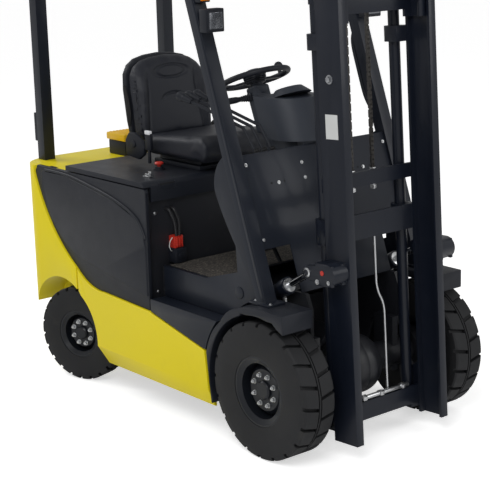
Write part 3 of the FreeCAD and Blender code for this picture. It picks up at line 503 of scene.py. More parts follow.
    def plate(self, corners: Sequence[Vector], thickness: Vector, edge: float = 0.0) -> "Shape":
        """Adds a flat plate.

        Args:
            corners: Corners of one face, in order.
            thickness: Way and distance to the other face.
            edge: Width of the rounding of its edges.

        Returns:
            This shape.
        """
        face = self.mesh.faces.new([self.mesh.verts.new(c) for c in corners])
        made = bmesh.ops.extrude_face_region(self.mesh, geom=[face])
        far = [v for v in made["geom"] if isinstance(v, BMVert)]
        bmesh.ops.translate(self.mesh, vec=thickness, verts=far)
        both = list({v for end in far for side in end.link_edges for v in side.verts})
        faces = list({f for v in both for f in v.link_faces})
        bmesh.ops.recalc_face_normals(self.mesh, faces=faces)
        self.soften(both, edge)
        return self

    def bolt(self, seat: Vector, way: Vector, size: float) -> "Shape":
        """Adds a washer and a hexagonal bolt head on it.

        Args:
            seat: Point on the surface under the washer.
            way: Direction in which the head stands out.
            size: Width of the hexagon across its corners.

        Returns:
            This shape.
        """
        out = way.normalized()
        self.bar(seat, seat + out * size * 0.12, size * 0.72, sides=20)
        self.bar(seat + out * size * 0.12, seat + out * size * 0.52, size * 0.5, sides=6, edge=size * 0.06)
        return self

    def done(self, name: str, finish: Finish, body: str, slot: str = "") -> Object:
        """Makes the object, gives it its finish and lets it ride on a body.

        Args:
            name: Name of the piece.
            finish: Finish of its surface.
            body: Body that it rides on.
            slot: Material slot of the record, if it has one; not used.

        Returns:
            The new object.
        """
        bmesh.ops.recalc_face_normals(self.mesh, faces=self.mesh.faces)
        data = bpy.data.meshes.new(name)
        self.mesh.to_mesh(data)
        self.mesh.free()
        return dressed(name, data, finish, body)


def dressed(name: str, data: bpy.types.Mesh, finish: Finish, body: str) -> Object:
    """Makes an object of a mesh, smooths it, and lets it ride on a body.

    Args:
        name: Name of the piece.
        data: Its mesh.
        finish: Finish of its surface.
        body: Body that it rides on.

    Returns:
        The new object.
    """
    data.materials.clear()
    data.materials.append(finish.material())
    data.shade_smooth()
    data.set_sharp_from_angle(angle=SHARP)
    piece = bpy.data.objects.new(name, data)
    bpy.context.scene.collection.objects.link(piece)
    if body:
        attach(piece, body)
    log.info("piece %s: %d faces", name, len(data.polygons))
    return piece


def softened(node: str, name: str, finish: Finish, width: float, segments: int = 2) -> Object:
    """Makes a copy of a CAD node with rounded edges that stands for it.

    Args:
        node: CAD node.
        name: Name of the new piece.
        finish: Finish of its surface.
        width: Width of the rounding in metres.
        segments: Number of strips across it.

    Returns:
        The new object.
    """
    shape = Shape()
    shape.mesh.from_mesh(frame["nodes"][node].data)
    bmesh.ops.remove_doubles(shape.mesh, verts=shape.mesh.verts, dist=1e-5)
    bmesh.ops.dissolve_limit(shape.mesh, angle_limit=math.radians(0.6), verts=shape.mesh.verts,
                             edges=shape.mesh.edges)
    shape.soften(list(shape.mesh.verts), width, segments)
    body = frame["nodes"][node]["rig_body"]
    piece = shape.done(name, finish, body, slot_of(node))
    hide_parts(node)
    return piece


def slot_of(node: str) -> str:
    """Gives the record's material slot of a CAD node."""
    rows = frame["record"]["subparts"]
    return next(row["material_slot"] for row in rows if row["node"] == node)


def hose(name: str, route: Sequence[Vector], radius: float, finish: Finish, body: str) -> Object:
    """Makes a fixed pipe or hose on a smooth line.

    Args:
        name: Name of the piece.
        route: Control points of its line.
        radius: Radius of the hose in metres.
        finish: Finish of its surface.
        body: Body that it rides on.

    Returns:
        The new object.
    """
    line = bpy.data.curves.new(name, "CURVE")
    line.dimensions = "3D"
    line.bevel_depth = radius
    line.bevel_resolution = 3
    line.resolution_u = 6
    line.use_fill_caps = True
    spline = line.splines.new("NURBS")
    spline.points.add(len(route) - 1)
    for point, place in zip(spline.points, route):
        point.co = (*place, 1)
    spline.order_u = 3
    spline.use_endpoint_u = True
    line.materials.append(finish.material())
    piece = bpy.data.objects.new(name, line)
    bpy.context.scene.collection.objects.link(piece)
    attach(piece, body)
    log.info("piece %s: pipe of %d points", name, len(route))
    return piece


@dataclass
class Cladding:
    """The CAD nodes whose shape stays, with their finishes and rounded edges.

    Attributes:
        plain: Finish of each node that is only painted.
        rounded: Finish and width of the rounding, in metres, of each node that gets rounded edges.
    """

    plain: dict[str, Finish] = field(default_factory=dict)
    rounded: dict[str, tuple[Finish, float]] = field(default_factory=dict)

    def build(self) -> None:
        """Dresses every CAD node of this table that the model has."""
        for node, finish in self.plain.items():
            if node not in frame["nodes"]:
                continue
            piece = frame["nodes"][node]
            piece.data.materials.clear()
            piece.data.materials.append(finish.material())
            log.info("node %s: %s", node, finish.name)
        for node, (finish, width) in self.rounded.items():
            if node in frame["nodes"]:
                softened(node, node + "_shell", finish, width)


@dataclass
class Wheel:
    """Fittings of one wheel: its nuts and the rings of the tyre's side wall, in metres.

    Attributes:
        name: Name of the wheel.
        body: Body that the fittings ride on.
        centre: Centre of the tyre.
        out: Direction of the wheel's outer side.
        tyre_radius: Radius of the tyre.
        half_width: Half the tyre's width.
        rim_radius: Radius of the rim's edge.
        face: Distance from the centre to the face that the nuts sit on.
        nuts: Number of nuts.
        nut_circle: Radius of the circle of the nuts.
    """

    name: str
    body: str
    centre: Vector
    out: Vector
    tyre_radius: float
    half_width: float
    rim_radius: float
    face: float
    nut_circle: float
    nuts: int = 8

    def build(self) -> None:
        """Makes the fittings."""
        way = self.out.normalized()
        side = way.orthogonal().normalized()
        rise = way.cross(side)
        nuts = Shape()
        for i in range(self.nuts):
            turn = math.tau * (i + 0.5) / self.nuts
            spoke = side * math.cos(turn) + rise * math.sin(turn)
            foot = self.centre + way * self.face + spoke * self.nut_circle
            nuts.bar(foot - way * 0.001, foot + way * 0.003, 0.0110, sides=20)
            nuts.bar(foot + way * 0.003, foot + way * 0.013, 0.0092, sides=6, edge=0.0010)
            nuts.bar(foot + way * 0.013, foot + way * 0.018, 0.0048, sides=16, edge=0.0008)
        nuts.done(self.name + "_nuts", ZINC, self.body)
        wall = Shape()
        for radius, height in ((self.rim_radius + 0.034, 0.0022), (self.tyre_radius - 0.062, 0.003)):
            level = self.half_width - 0.004
            profile = [(radius - 0.004, level - 0.008), (radius + 0.004, level - 0.008),
                       (radius + 0.003, level + height), (radius - 0.003, level + height)]
            wall.spun(profile, self.centre, way, 72)
        wall.done(self.name + "_wall_rings", RUBBER, self.body)


@dataclass
class Studio:
    """Floor, light and camera.

    Attributes:
        eye: Place of the camera, in millimetres from the front axle and the floor.
        yaw: Direction in which it looks, in degrees from the truck's front to its left.
        pitch: Rise of that direction, in degrees.
        roll: Turn about that direction, in degrees.
        focal_px: Focal length in pixels of the photograph.
        frame_px: Width of the photograph in pixels.
        floor_glow: Light that the floor adds for the camera only.
        world_light: Strength of the world's light on the truck.
    """

    eye: tuple[float, float, float] = (4246.42, -4003.73, 2254.97)
    yaw: float = 141.028
    pitch: float = -13.682
    roll: float = -1.57
    focal_px: float = 1409.17
    frame_px: float = 490.0
    floor_glow: float = 0.56
    world_light: float = 0.46

    def build(self) -> None:
        """Sets up the floor, the world, the lamps and the camera."""
        self._floor()
        self._world()
        self._lamps()
        self._camera()
        bpy.context.scene.view_settings.view_transform = "Standard"

    def _floor(self) -> None:
        """Lays the pale floor."""
        shape = Shape()
        bmesh.ops.create_circle(shape.mesh, cap_ends=True, segments=96, radius=80)
        data = bpy.data.meshes.new("floor")
        shape.mesh.to_mesh(data)
        shape.mesh.free()
        material = bpy.data.materials.new("pale_floor")
        material.use_nodes = True
        tree = material.node_tree
        shader = tree.nodes["Principled BSDF"]
        shader.inputs["Base Color"].default_value = (0.93, 0.93, 0.93, 1)
        shader.inputs["Roughness"].default_value = 0.9
        shader.inputs["Specular IOR Level"].default_value = 0.1
        sight = tree.nodes.new("ShaderNodeLightPath")
        lift = tree.nodes.new("ShaderNodeMath")
        lift.operation = "MULTIPLY"
        lift.inputs[1].default_value = self.floor_glow
        tree.links.new(sight.outputs["Is Camera Ray"], lift.inputs[0])
        tree.links.new(lift.outputs["Value"], shader.inputs["Emission Strength"])
        shader.inputs["Emission Color"].default_value = (1, 1, 1, 1)
        data.materials.append(material)
        floor = bpy.data.objects.new("floor", data)
        bpy.context.scene.collection.objects.link(floor)

    def _world(self) -> None:
        """Gives the world an even light, and a white that only the camera sees."""
        world = bpy.data.worlds.new("studio")
        bpy.context.scene.world = world
        world.use_nodes = True
        tree = world.node_tree
        back = tree.nodes["Background"]
        path = tree.nodes.new("ShaderNodeLightPath")
        seen = tree.nodes.new("ShaderNodeMapRange")
        seen.inputs["To Min"].default_value = self.world_light
        seen.inputs["To Max"].default_value = 1.0
        tree.links.new(path.outputs["Is Camera Ray"], seen.inputs["Value"])
        tree.links.new(seen.outputs["Result"], back.inputs["Strength"])
        back.inputs["Color"].default_value = (1, 1, 1, 1)

    def _lamps(self) -> None:
        """Hangs a large key lamp, a fill lamp and a rim lamp."""
        # Name, place and size in metres, and power in watts
        rows = (("key", (3.4, -4.6, 5.6), 3.2, 185.0), ("fill", (5.2, 2.6, 3.4), 3.0, 70.0),
                ("back", (-4.8, -1.6, 4.6), 2.6, 95.0))
        aim = Vector((0, 0, 1.2))
        for name, place, size, power in rows:
            lamp = bpy.data.lights.new(name, "AREA")
            lamp.size = size
            lamp.energy = power
            holder = bpy.data.objects.new(name, lamp)
            holder.location = place
            holder.rotation_euler = (aim - Vector(place)).to_track_quat("-Z", "Y").to_euler()
            bpy.context.scene.collection.objects.link(holder)

    def _camera(self) -> None:
        """Sets the camera where the photograph was taken from."""
        data = bpy.data.cameras.new("photo_camera")
        data.sensor_width = 36.0
        data.lens = self.focal_px / self.frame_px * data.sensor_width
        data.clip_end = 200.0
        yaw, pitch, roll = (math.radians(a) for a in (self.yaw, self.pitch, self.roll))
        ahead = Vector((math.cos(pitch) * math.cos(yaw), math.cos(pitch) * math.sin(yaw), math.sin(pitch)))
        right = Vector((math.sin(yaw), -math.cos(yaw), 0))
        rise = right.cross(ahead)
        across = right * math.cos(roll) + rise * math.sin(roll)
        above = rise * math.cos(roll) - right * math.sin(roll)
        turn = Matrix((across, above, -ahead)).transposed()
        camera = bpy.data.objects.new("photo_camera", data)
        camera.matrix_world = Matrix.Translation(at(*self.eye)) @ turn.to_4x4()
        bpy.context.scene.collection.objects.link(camera)
        bpy.context.scene.camera = camera


@dataclass
class Pad:
    """An upholstered form: a cut shape that a cloth run fills, with pressed lines on its front.

    Attributes:
        name: Name of the piece.
        node: CAD node that it stands for.
        outline: Corners of one face, in millimetres.
        depth: Way and distance to the other face, in metres.
        lean: How far it leans back for each metre of height.
        cap: How far the filling may move a point, in metres.
        lines: Lines that are pressed into its front.
        wing: How far its sides rise into bolsters, in metres.
        edge: Rounding of the cut shape's edges, in metres.
        voxel: Size of the even grid that is filled, in metres.
        pressure: Pressure of the filling.
        frames: Number of steps of the cloth run.
    """

    name: str
    node: str
    outline: Sequence[tuple[float, float, float]]
    depth: Vector
    lean: float
    cap: float
    lines: Sequence["PressedLine"] = ()
    wing: float = 0.0
    edge: float = 0.030
    voxel: float = 0.008
    pressure: float = 4.0
    frames: int = 16

    def build(self) -> None:
        """Makes the pad and lets it stand for its CAD node."""
        shape = Shape()
        shape.plate([at(*corner) for corner in self.outline], self.depth, self.edge)
        low = min(v.co.z for v in shape.mesh.verts)
        for vert in shape.mesh.verts:
            vert.co.x -= self.lean * (vert.co.z - low)
        data = bpy.data.meshes.new(self.name)
        shape.mesh.to_mesh(data)
        shape.mesh.free()
        data = self._filled(data)
        if self.wing:
            self._raise_wings(data)
        for line in self.lines:
            line.press(data)
        piece = dressed(self.name, data, VINYL, "hood")
        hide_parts(self.node)

    def _raise_wings(self, data: bpy.types.Mesh) -> None:
        """Raises both sides of the front into bolsters with a crease along them.

        Args:
            data: Mesh of the pad.
        """
        headrest_z, fade_span = 1.512, 0.09
        crease_y, crease_width, crease_depth = 0.138, 0.007, 0.006
        waist_z, waist_span, waist_out = 1.40, 0.2, 0.022
        shoulder = 0.045
        for vert in data.vertices:
            if vert.normal.x < 0.2:
                continue
            fade = clamped((headrest_z - vert.co.z) / fade_span)
            edge = crease_y + waist_out * clamped((waist_z - vert.co.z) / waist_span)
            off = abs(vert.co.y) - edge
            share = clamped(off / shoulder)
            rise = self.wing * share * share * (3 - 2 * share) * fade
            crease = crease_depth * math.exp(-((off / crease_width) ** 2)) * fade
            vert.co.x += rise - crease

    def _filled(self, data: bpy.types.Mesh) -> bpy.types.Mesh:
        """Remeshes the cut shape evenly, swells it with cloth pressure, and refines it.

        Args:
            data: Mesh of the cut shape.

        Returns:
            The swollen mesh.
        """
        scene = bpy.context.scene
        holder = bpy.data.objects.new(self.name + "_cut", data)
        scene.collection.objects.link(holder)
        grid = holder.modifiers.new("grid", "REMESH")
        grid.mode = "VOXEL"
        grid.voxel_size = self.voxel
        holder.data = baked(holder)
        holder.modifiers.clear()
        rest = [v.co.copy() for v in holder.data.vertices]
        cloth = holder.modifiers.new("cloth", "CLOTH")
        cloth.settings.use_pressure = True
        cloth.settings.uniform_pressure_force = self.pressure
        cloth.settings.effector_weights.gravity = 0.0
        cloth.point_cache.frame_start = 1
        cloth.point_cache.frame_end = self.frames
        for step in range(1, self.frames + 1):
            scene.frame_set(step)
        swollen = baked(holder)
        scene.frame_set(1)
        holder.modifiers.clear()
        holder.data = swollen
        for vert, start in zip(swollen.vertices, rest):
            way = vert.co - start
            if way.length > self.cap:
                vert.co = start + way.normalized() * self.cap
        even = holder.modifiers.new("even", "SMOOTH")
        even.factor = 0.5
        even.iterations = 10
        finer = holder.modifiers.new("finer", "SUBSURF")
        finer.levels = finer.render_levels = 1
        made = baked(holder)
        bpy.data.objects.remove(holder)
        log.info("pad %s: %d vertices", self.name, len(made.vertices))
        return made


@dataclass
class PressedLine:
    """A line pressed into a pad's front: an ellipse, or the upper half of one.

    Attributes:
        y: Centre across the seat, in millimetres.
        z: Height of the centre, in millimetres.
        half_width: Half its width, in millimetres.
        half_height: Half its height, in millimetres.
        depth: Depth of the line, in metres.
        upper_only: Whether only the upper half is pressed.
        reach: How far from the line the pad is pressed in, in metres.
    """

    y: float
    z: float
    half_width: float
    half_height: float
    depth: float
    upper_only: bool = False
    reach: float = 0.009

    def press(self, data: bpy.types.Mesh) -> None:
        """Moves the front's points near the line inwards.

        Args:
            data: Mesh of the pad.
        """
        centre_y, centre_z = self.y / 1000, self.z / 1000
        for vert in data.vertices:
            if vert.normal.x < 0.4:
                continue
            across = (vert.co.y - centre_y) / (self.half_width / 1000)
            up = (vert.co.z - centre_z) / (self.half_height / 1000)
            if self.upper_only and up < 0:
                continue
            off = abs(math.hypot(across, up) - 1) * min(self.half_width, self.half_height) / 1000
            if off < self.reach:
                vert.co -= vert.normal * self.depth * math.cos(off / self.reach * math.pi / 2) ** 2


def clamped(value: float) -> float:
    """Gives a value held between nought and one."""
    return min(max(value, 0.0), 1.0)


def baked(holder: Object) -> bpy.types.Mesh:
    """Applies an object's modifiers.

    Args:
        holder: The object.

    Returns:
        A copy of its mesh with the modifiers applied.
    """
    graph = bpy.context.evaluated_depsgraph_get()
    graph.update()
    return bpy.data.meshes.new_from_object(holder.evaluated_get(graph))


@dataclass
class Seat:
    """Pads, back shell, side covers and the belt's buckle.

    Attributes:
        front: Front of the backrest at its foot, in millimetres.
        lean: How far the backrest leans back for each metre of height.
        half_width: Half the cushion's width, in millimetres.
    """

    front: float = -1178.0
    lean: float = 0.16
    half_width: float = 232.0

    def build(self) -> None:
        """Makes the seat's pieces."""
        side = [(-1168, 1122), (-712, 1122), (-688, 1136), (-680, 1160), (-680, 1190), (-692, 1214),
                (-716, 1226), (-770, 1222), (-1120, 1194), (-1168, 1198)]
        corners = [(x, -self.half_width, z) for x, z in side]
        Pad("cushion", "seat_cushion", corners, Vector((0, self.half_width / 500, 0)), 0.0, 0.012).build()
        half = [(0, 1152), (216, 1152), (224, 1250), (224, 1400), (214, 1474), (188, 1516), (146, 1542),
                (84, 1556), (0, 1562)]
        ring = half + [(-y, z) for y, z in reversed(half[1:-1])]
        lines = (PressedLine(0, 1478, 92, 30, 0.006), PressedLine(0, 1345, 62, 30, 0.006, True))
        corners = [(self.front - 14, y, z) for y, z in ring]
        depth = Vector((-0.070, 0, 0))
        Pad("backrest", "seat_backrest", corners, depth, self.lean, 0.010, lines, 0.024).build()
        self._shell(ring)
        self._belt()

    def _shell(self, ring: Sequence[tuple[float, float]]) -> None:
        """Makes the plastic shell behind the backrest.

        Args:
            ring: Outline of the pad in front view.
        """
        shape = Shape()
        shrink, middle, foot = 0.985, 1362, 1.152
        corners = [at(self.front - 80, y * shrink, middle + (z - middle) * shrink) for y, z in ring]
        shape.plate(corners, Vector((-0.034, 0, 0)), 0.010)
        for vert in shape.mesh.verts:
            vert.co.x -= self.lean * (vert.co.z - foot)
        shape.done("seat_shell", PANEL, "hood")
        # Dark plates on the shell's sides: painted shade of its openings.
        shade_in_gaps = Shape()
        for side in (1, -1):
            curve = [(-1286, 1225), (-1268, 1240), (-1262, 1290), (-1272, 1350), (-1292, 1410), (-1308, 1425),
                     (-1312, 1400), (-1298, 1310)]
            shade_in_gaps.plate([at(x, side * 221.5, z) for x, z in curve], Vector((0, side * 0.002, 0)), 0.0004)
        shade_in_gaps.done("shell_openings_painted_shade", PAINTED_SHADE, "hood")
        for side, name in ((1, "left"), (-1, "right")):
            cover = Shape()
            curve = [(-1262, 1096), (-1160, 1086), (-1118, 1112), (-1112, 1150), (-1136, 1186), (-1190, 1212),
                     (-1238, 1210), (-1268, 1170)]
            cover.plate([at(x, side * 241, z) for x, z in curve], Vector((0, side * 0.020, 0)), 0.008)
            cover.bar(at(-1196, side * 258, 1158), at(-1196, side * 266, 1158), 0.018, sides=32, edge=0.003)
            cover.done("recliner_" + name, PANEL, "hood")

    def _belt(self) -> None:
        """Makes the buckle with its stalk and white tag."""
        shape = Shape()
        shape.crate((-1094, -1050), (-268, -250), (1142, 1222), 0.005)
        shape.crate((-1080, -1064), (-264, -254), (1080, 1150), 0.002)
        shape.done("belt_buckle", PANEL, "hood")
        Shape().crate((-1092, -1052), (-270, -254), (1216, 1234), 0.003).done("belt_tag", TAG, "hood")


@dataclass
class Controls:
    """Grips, boots, column shroud, display, key, wheel cap and pedal pads.

    Attributes:
        foot: Foot of the steering column, in millimetres.
        hub: Centre of the steering wheel, in millimetres.
        levers: Places of the levers across the truck, in millimetres.
        pedals: Place across, half width and height over the toe board of each pedal, in millimetres.
        pedal_lean: Slope of the pedals.
    """

    foot: tuple[float, float, float] = (-300.2, 0.0, 713.3)
    hub: tuple[float, float, float] = (-600.0, 0.0, 1490.0)
    levers: tuple[float, ...] = (-180, -225, -270)
    pedals: tuple[tuple[float, float, float], ...] = ((-205, 42, 62), (-100, 34, 70), (95, 34, 70))
    pedal_lean: float = math.radians(34)

    def build(self) -> None:
        """Makes the pieces."""
        self._levers()
        self._column()
        self._wheel()
        self._pedals()

    def _levers(self) -> None:
        """Makes the grips and the boots of the three levers."""
        grips = Shape()
        boots = Shape()
        for y in self.levers:
            knee, tip = at(-330, y - 25, 1330), at(-640, y - 105, 1440)
            way = (tip - knee).normalized()
            profile = [(0.0, -0.052), (0.012, -0.052), (0.014, -0.035), (0.019, 0.0), (0.021, 0.012),
                       (0.018, 0.024), (0.010, 0.030), (0.0, 0.031)]
            grips.spun(profile, tip, way, 28)
            boots.bellows(at(-262, y, 1206), at(-274, y - 4, 1244), 0.019, 0.010, 4)
        grips.done("lever_grips", PANEL, "chassis")
        boots.done("lever_boots", RUBBER, "chassis")

    def _column(self) -> None:
        """Makes the column's shroud, the travel stalk, the display and the key."""
        foot, hub = at(*self.foot), at(*self.hub)
        way = (hub - foot).normalized()
        turn = UP.rotation_difference(way).to_matrix().to_4x4()
        middle = along(foot, hub, 0.83)
        half = Vector((0.036, 0.042, 0.105))
        shape = Shape().block(middle - half, middle + half, 0.011, turn)
        low = along(foot, hub, 0.93)
        shape.bar(low - way * 0.02, low + way * 0.012, 0.040, 0.048, 40, 0.004)
        shape.done("column_shroud", GREY, "chassis")
        start = along(foot, hub, 0.90)
        out = Vector((-0.35, -1.0, -0.10)).normalized()
        stalk = Shape().bellows(start + out * 0.036, start + out * 0.096, 0.021, 0.012, 6)
        profile = [(0.0, 0.0), (0.010, 0.0), (0.014, 0.02), (0.015, 0.05), (0.012, 0.066), (0.0, 0.070)]
        stalk.spun(profile, start + out * 0.092, out, 24)
        stalk.done("travel_stalk", PANEL, "chassis")
        panel = Shape()
        panel.crate((-478, -470), (-82, 82), (1296, 1396), 0.003)
        panel.done("display_bezel", PANEL, "chassis")
        glass = Shape().crate((-481, -477), (-66, 66), (1310, 1382), 0.001)
        glass.done("display_glass", GLASS, "chassis")
        key = Shape()
        key.bar(at(-470, 100, 1330), at(-486, 100, 1330), 0.012, sides=28, edge=0.001)
        key.block(at(-506, 97, 1318), at(-484, 103, 1342), 0.002)
        key.done("key_switch", ZINC, "chassis")

    def _wheel(self) -> None:
        """Makes the hub cap and the ribs of the steering wheel's spokes."""
        foot, hub = at(*self.foot), at(*self.hub)
        way = (hub - foot).normalized()
        profile = [(0.0, 0.012), (0.046, 0.012), (0.047, 0.020), (0.042, 0.031), (0.028, 0.038), (0.0, 0.040)]
        cap = Shape().spun(profile, hub, way, 48)
        cap.done("wheel_cap", GREY, "steering_wheel")
        ribs = Shape()
        for ring in range(4):
            radius = 0.050 + ring * 0.001
            level = -0.020 + ring * 0.009
            ribs.spun([(radius - 0.008, level), (radius, level + 0.001), (radius, level + 0.005),
                       (radius - 0.008, level + 0.006)], hub, way, 40)
        ribs.done("hub_ribs", PANEL, "steering_wheel")

    def _pedals(self) -> None:
        """Makes the ribbed rubber pads of the pedals."""
        lean = self.pedal_lean
        heel_x, board_z, above, ribs, pitch = -420, 680, 10, 7, 15
        pads = Shape()
        for y, half, rise in self.pedals:
            size = Vector((0.0045, (half - 3) / 1000, 0.003))
            for i in range(ribs):
                reach = -6 + i * pitch
                x = heel_x + reach * math.cos(lean) - above * math.sin(lean)
                z = board_z + rise + reach * math.sin(lean) + above * math.cos(lean)
                middle = at(x, y, z)
                pads.block(middle - size, middle + size, 0.001, Matrix.Rotation(-lean, 4, "Y"))
        pads.done("pedal_pads", RUBBER, "chassis")


@dataclass
class Bodywork:
    """Beads, bolts, latch, handles, mats, bosses, plug, box and the dress of the lamps.

    Attributes:
        side_y: Half the width over the side panels, in millimetres.
        plate_y: Distance of the side plates from the middle, in millimetres.
        pillar_y: Outer side of the front pillars, in millimetres.
        hood_z: Height of the hood's top, in millimetres.
        floor_z: Height of the floor plate's top, in millimetres.
        cowl: Thickness of the cowl panel, in millimetres.
    """

    side_y: float = 524.0
    plate_y: float = 440.0
    pillar_y: float = 469.5
    hood_z: float = 1064.0
    floor_z: float = 676.0
    cowl: float = 19.0

    def build(self) -> None:
        """Makes the pieces."""
        self._beads()
        self._bolts()
        self._hood()
        self._mats()
        self._lamps()
        self._box()
        self._plug()
        self._pillars()

    def _beads(self) -> None:
        """Makes the raised bead over the door of each side panel."""
        route = [(-1585, 1021), (-1420, 1025), (-1235, 1001), (-1014, 964), (-872, 922), (-800, 880),
                 (-764, 812)]
        for side, name in ((1, "left"), (-1, "right")):
            points = [at(x, side * (self.side_y - 6), z) for x, z in route]
            hose("door_bead_" + name, points, 0.0075, PANEL, "chassis")

    def _bolts(self) -> None:
        """Makes the bolts on the panels, the cowl, the pillars' feet and the side plates."""
        bolts = Shape()
        for side in (1, -1):
            for z in (554, 916):
                bolts.bolt(at(-780, side * 449, z), Vector((1, 0, 0)), 0.012)
            for x in (-67, 27):
                bolts.bolt(at(x, side * 466, 661), UP, 0.012)
        slope = Vector((1, 0, PILLAR_LEAN)).normalized()
        for y, z in ((-96, 1174), (-96, 1112), (-244, 1111), (96, 1174), (96, 1112), (244, 1111), (-395, 900),
                     (395, 900), (-395, 1200), (395, 1200)):
            bolts.bolt(at(self.cowl + pillar_x(z), y, z), slope, 0.011)
        bolts.done("body_bolts", ZINC, "chassis")
        # Dark discs on the cowl: painted shade of its holes.
        hole_shade = Shape()
        for y in (-283, -213, 213, 283):
            spot = at(self.cowl + pillar_x(1113), y, 1113)
            hole_shade.bar(spot - slope * 0.001, spot + slope * 0.0006, 0.0045, sides=20)
        hole_shade.done("cowl_holes_painted_shade", PAINTED_SHADE, "chassis")
        boss = Shape()
        profile = [(0.0, 0.0), (0.027, 0.0), (0.026, 0.003), (0.018, 0.005), (0.0, 0.006)]
        for side in (1, -1):
            boss.spun(profile, at(-204, side * self.plate_y, 661), Vector((0, side, 0)), 40)
        boss.done("plate_bosses", BLACK, "chassis")

    def _hood(self) -> None:
        """Makes the handle's frame and the painted shade of its recess, the latch and the stop button of the
        hood.
        """
        frame_bar = Shape()
        for y in ((-438, -430), (-350, -342)):
            frame_bar.crate((-778, -757), y, (1026, 1054), 0.002)
        frame_bar.crate((-778, -757), (-438, -342), (1022, 1029), 0.002)
        frame_bar.done("handle_frame", PANEL, "hood")
        # Dark plate inside the frame: painted shade of the handle recess.
        Shape().crate((-772, -760.5), (-430, -350), (1029, 1050), 0.001).done("handle_recess_painted_shade", PAINTED_SHADE, "hood")
        top = self.hood_z
        latch = Shape()
        latch.crate((-900, -850), (-424, -402), (top, top + 5), 0.001)
        latch.crate((-888, -862), (-420, -406), (top + 5, top + 16), 0.002)
        latch.bar(at(-892, -413, top + 10), at(-858, -413, top + 10), 0.004, sides=16)
        latch.crate((-866, -846), (-416, -410), (top + 8, top + 28), 0.002)
        latch.done("hood_latch", ZINC, "hood")
        x, y = -989, -266
        base = Shape().bar(at(x, y, top), at(x, y, top + 14), 0.020, sides=36, edge=0.002)
        base.bar(at(x, y, top), at(x, y, top + 4), 0.028, sides=36, edge=0.001)
        base.done("stop_base", PANEL, "hood")
        profile = [(0.0, 0.0), (0.010, 0.0), (0.011, 0.008), (0.020, 0.010), (0.021, 0.016), (0.016, 0.021),
                   (0.0, 0.023)]
        Shape().spun(profile, at(x, y, top + 14), UP, 40).done("stop_button", RED, "hood")

    def _mats(self) -> None:
        """Makes the rubber mats on the floor plate and on the toe board."""
        floor = [(-735, -409), (-434, -409), (-398, -300), (-398, 300), (-434, 409), (-735, 409)]
        low = self.floor_z
        mat = Shape().plate([at(x, y, low + 0.3) for x, y in floor], Vector((0, 0, 0.004)), 0.001)
        mat.done("floor_mat", MAT, "chassis")
        toe = [(-390, -299), (-216, -299), (-216, 299), (-390, 299)]
        toe_x, rise = -394, 72 / 184
        corners = [at(x, y, low + 0.4 + (x - toe_x) * rise) for x, y in toe]
        Shape().plate(corners, Vector((0, 0, 0.0035)), 0.001).done("toe_mat", MAT, "chassis")
        edge = Shape()
        for side in (1, -1):
            edge.crate((-738, -300), (side * 519, side * 522.5), (536, 541.5), 0.0007)
        edge.done("step_edges", PANEL, "chassis")

    def _lamps(self) -> None:
        """Makes the lenses of the front and rear lamps."""
        front = pillar_x(1790) + 30
        bezel, lens, turn, tail = Shape(), Shape(), Shape(), Shape()
        for side in (1, -1):
            middle = at(front + 85, side * 447.5, 1790.5)
            bezel.block(middle - Vector((0.003, 0.041, 0.041)), middle + Vector((0.004, 0.041, 0.041)), 0.0028)
            lens.block(middle - Vector((0.003, 0.034, 0.034)), middle + Vector((0.007, 0.034, 0.034)), 0.0030)
            nose = pillar_x(1860) + 30
            turn.crate((nose + 34, nose + 40), (side * 416, side * 464), (1866, 1934), 0.003)
            tail.crate((-1850.5, -1846), (side * 358, side * 404), (1196, 1256), 0.0015)
        bezel.done("lamp_bezels", PANEL, "chassis")
        lens.done("lamp_lenses", LENS, "chassis")
        turn.done("turn_lenses", ORANGE, "chassis")
        tail.done("tail_lenses", RED_LENS, "chassis")
        back = Shape()
        for side in (1, -1):
            back.crate((-1850.5, -1846), (side * 358, side * 404), (1126, 1190), 0.0015)
        back.done("rear_turn_lenses", ORANGE, "chassis")

    def _box(self) -> None:
        """Makes the ribs and the latch of the storage box, and the battery's cells."""
        ribs = Shape()
        for y in range(-60, 61, 20):
            ribs.crate((-1692, -1553), (y - 4, y + 4), (1139, 1142.5), 0.001)
        ribs.done("lid_ribs", AMBER, "chassis")
        clasp = Shape().crate((-1543, -1538), (-14, 14), (1096, 1126), 0.001)
        clasp.done("box_clasp", ZINC, "chassis")
        cells, caps, links = Shape(), Shape(), Shape()
        for i in range(4):
            for j in range(6):
                x, y = -1235 + i * 125, -345 + j * 138
                cells.crate((x - 58, x + 58), (y - 64, y + 64), (1020, 1026), 0.002)
                caps.bar(at(x, y, 1026), at(x, y, 1033), 0.014, sides=24, edge=0.001)
                for shift in (-34, 34):
                    links.bar(at(x + shift, y, 1026), at(x + shift, y, 1032), 0.008, sides=16)
                if j < 5:
                    links.crate((x + 26, x + 42), (y, y + 138), (1030, 1033), 0.0007)
        cells.done("battery_cells", BATTERY, "chassis")
        caps.done("cell_caps", AMBER, "chassis")
        links.done("cell_links", CAST_LEAD, "chassis")

    def _plug(self) -> None:
        """Makes the battery connector: red upper half in its black holder."""
        red = Shape()
        red.crate((-779.7, -735), (-380, -330), (749, 805), 0.004)
        red.crate((-734, -729), (-374, -336), (760, 796), 0.002)
        for y in (-368, -355, -342):
            red.crate((-736, -726), (y - 2, y + 2), (756, 800), 0.0005)
        piece = red.done("plug_head", RED, "chassis", slot_of("battery_plug"))
        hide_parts("battery_plug")
        holder = Shape()
        holder.crate((-779.7, -720), (-385, -325), (682, 750), 0.005)
        holder.bar(at(-720, -355, 716), at(-716, -355, 716), 0.016, sides=28, edge=0.001)
        holder.done("plug_holder", PANEL, "chassis")
        loop = [at(-742, -386, 800), at(-738, -402, 790), at(-736, -410, 765), at(-740, -398, 742),
                at(-750, -384, 735)]
        hose("plug_strap", loop, 0.0022, LABEL, "chassis")

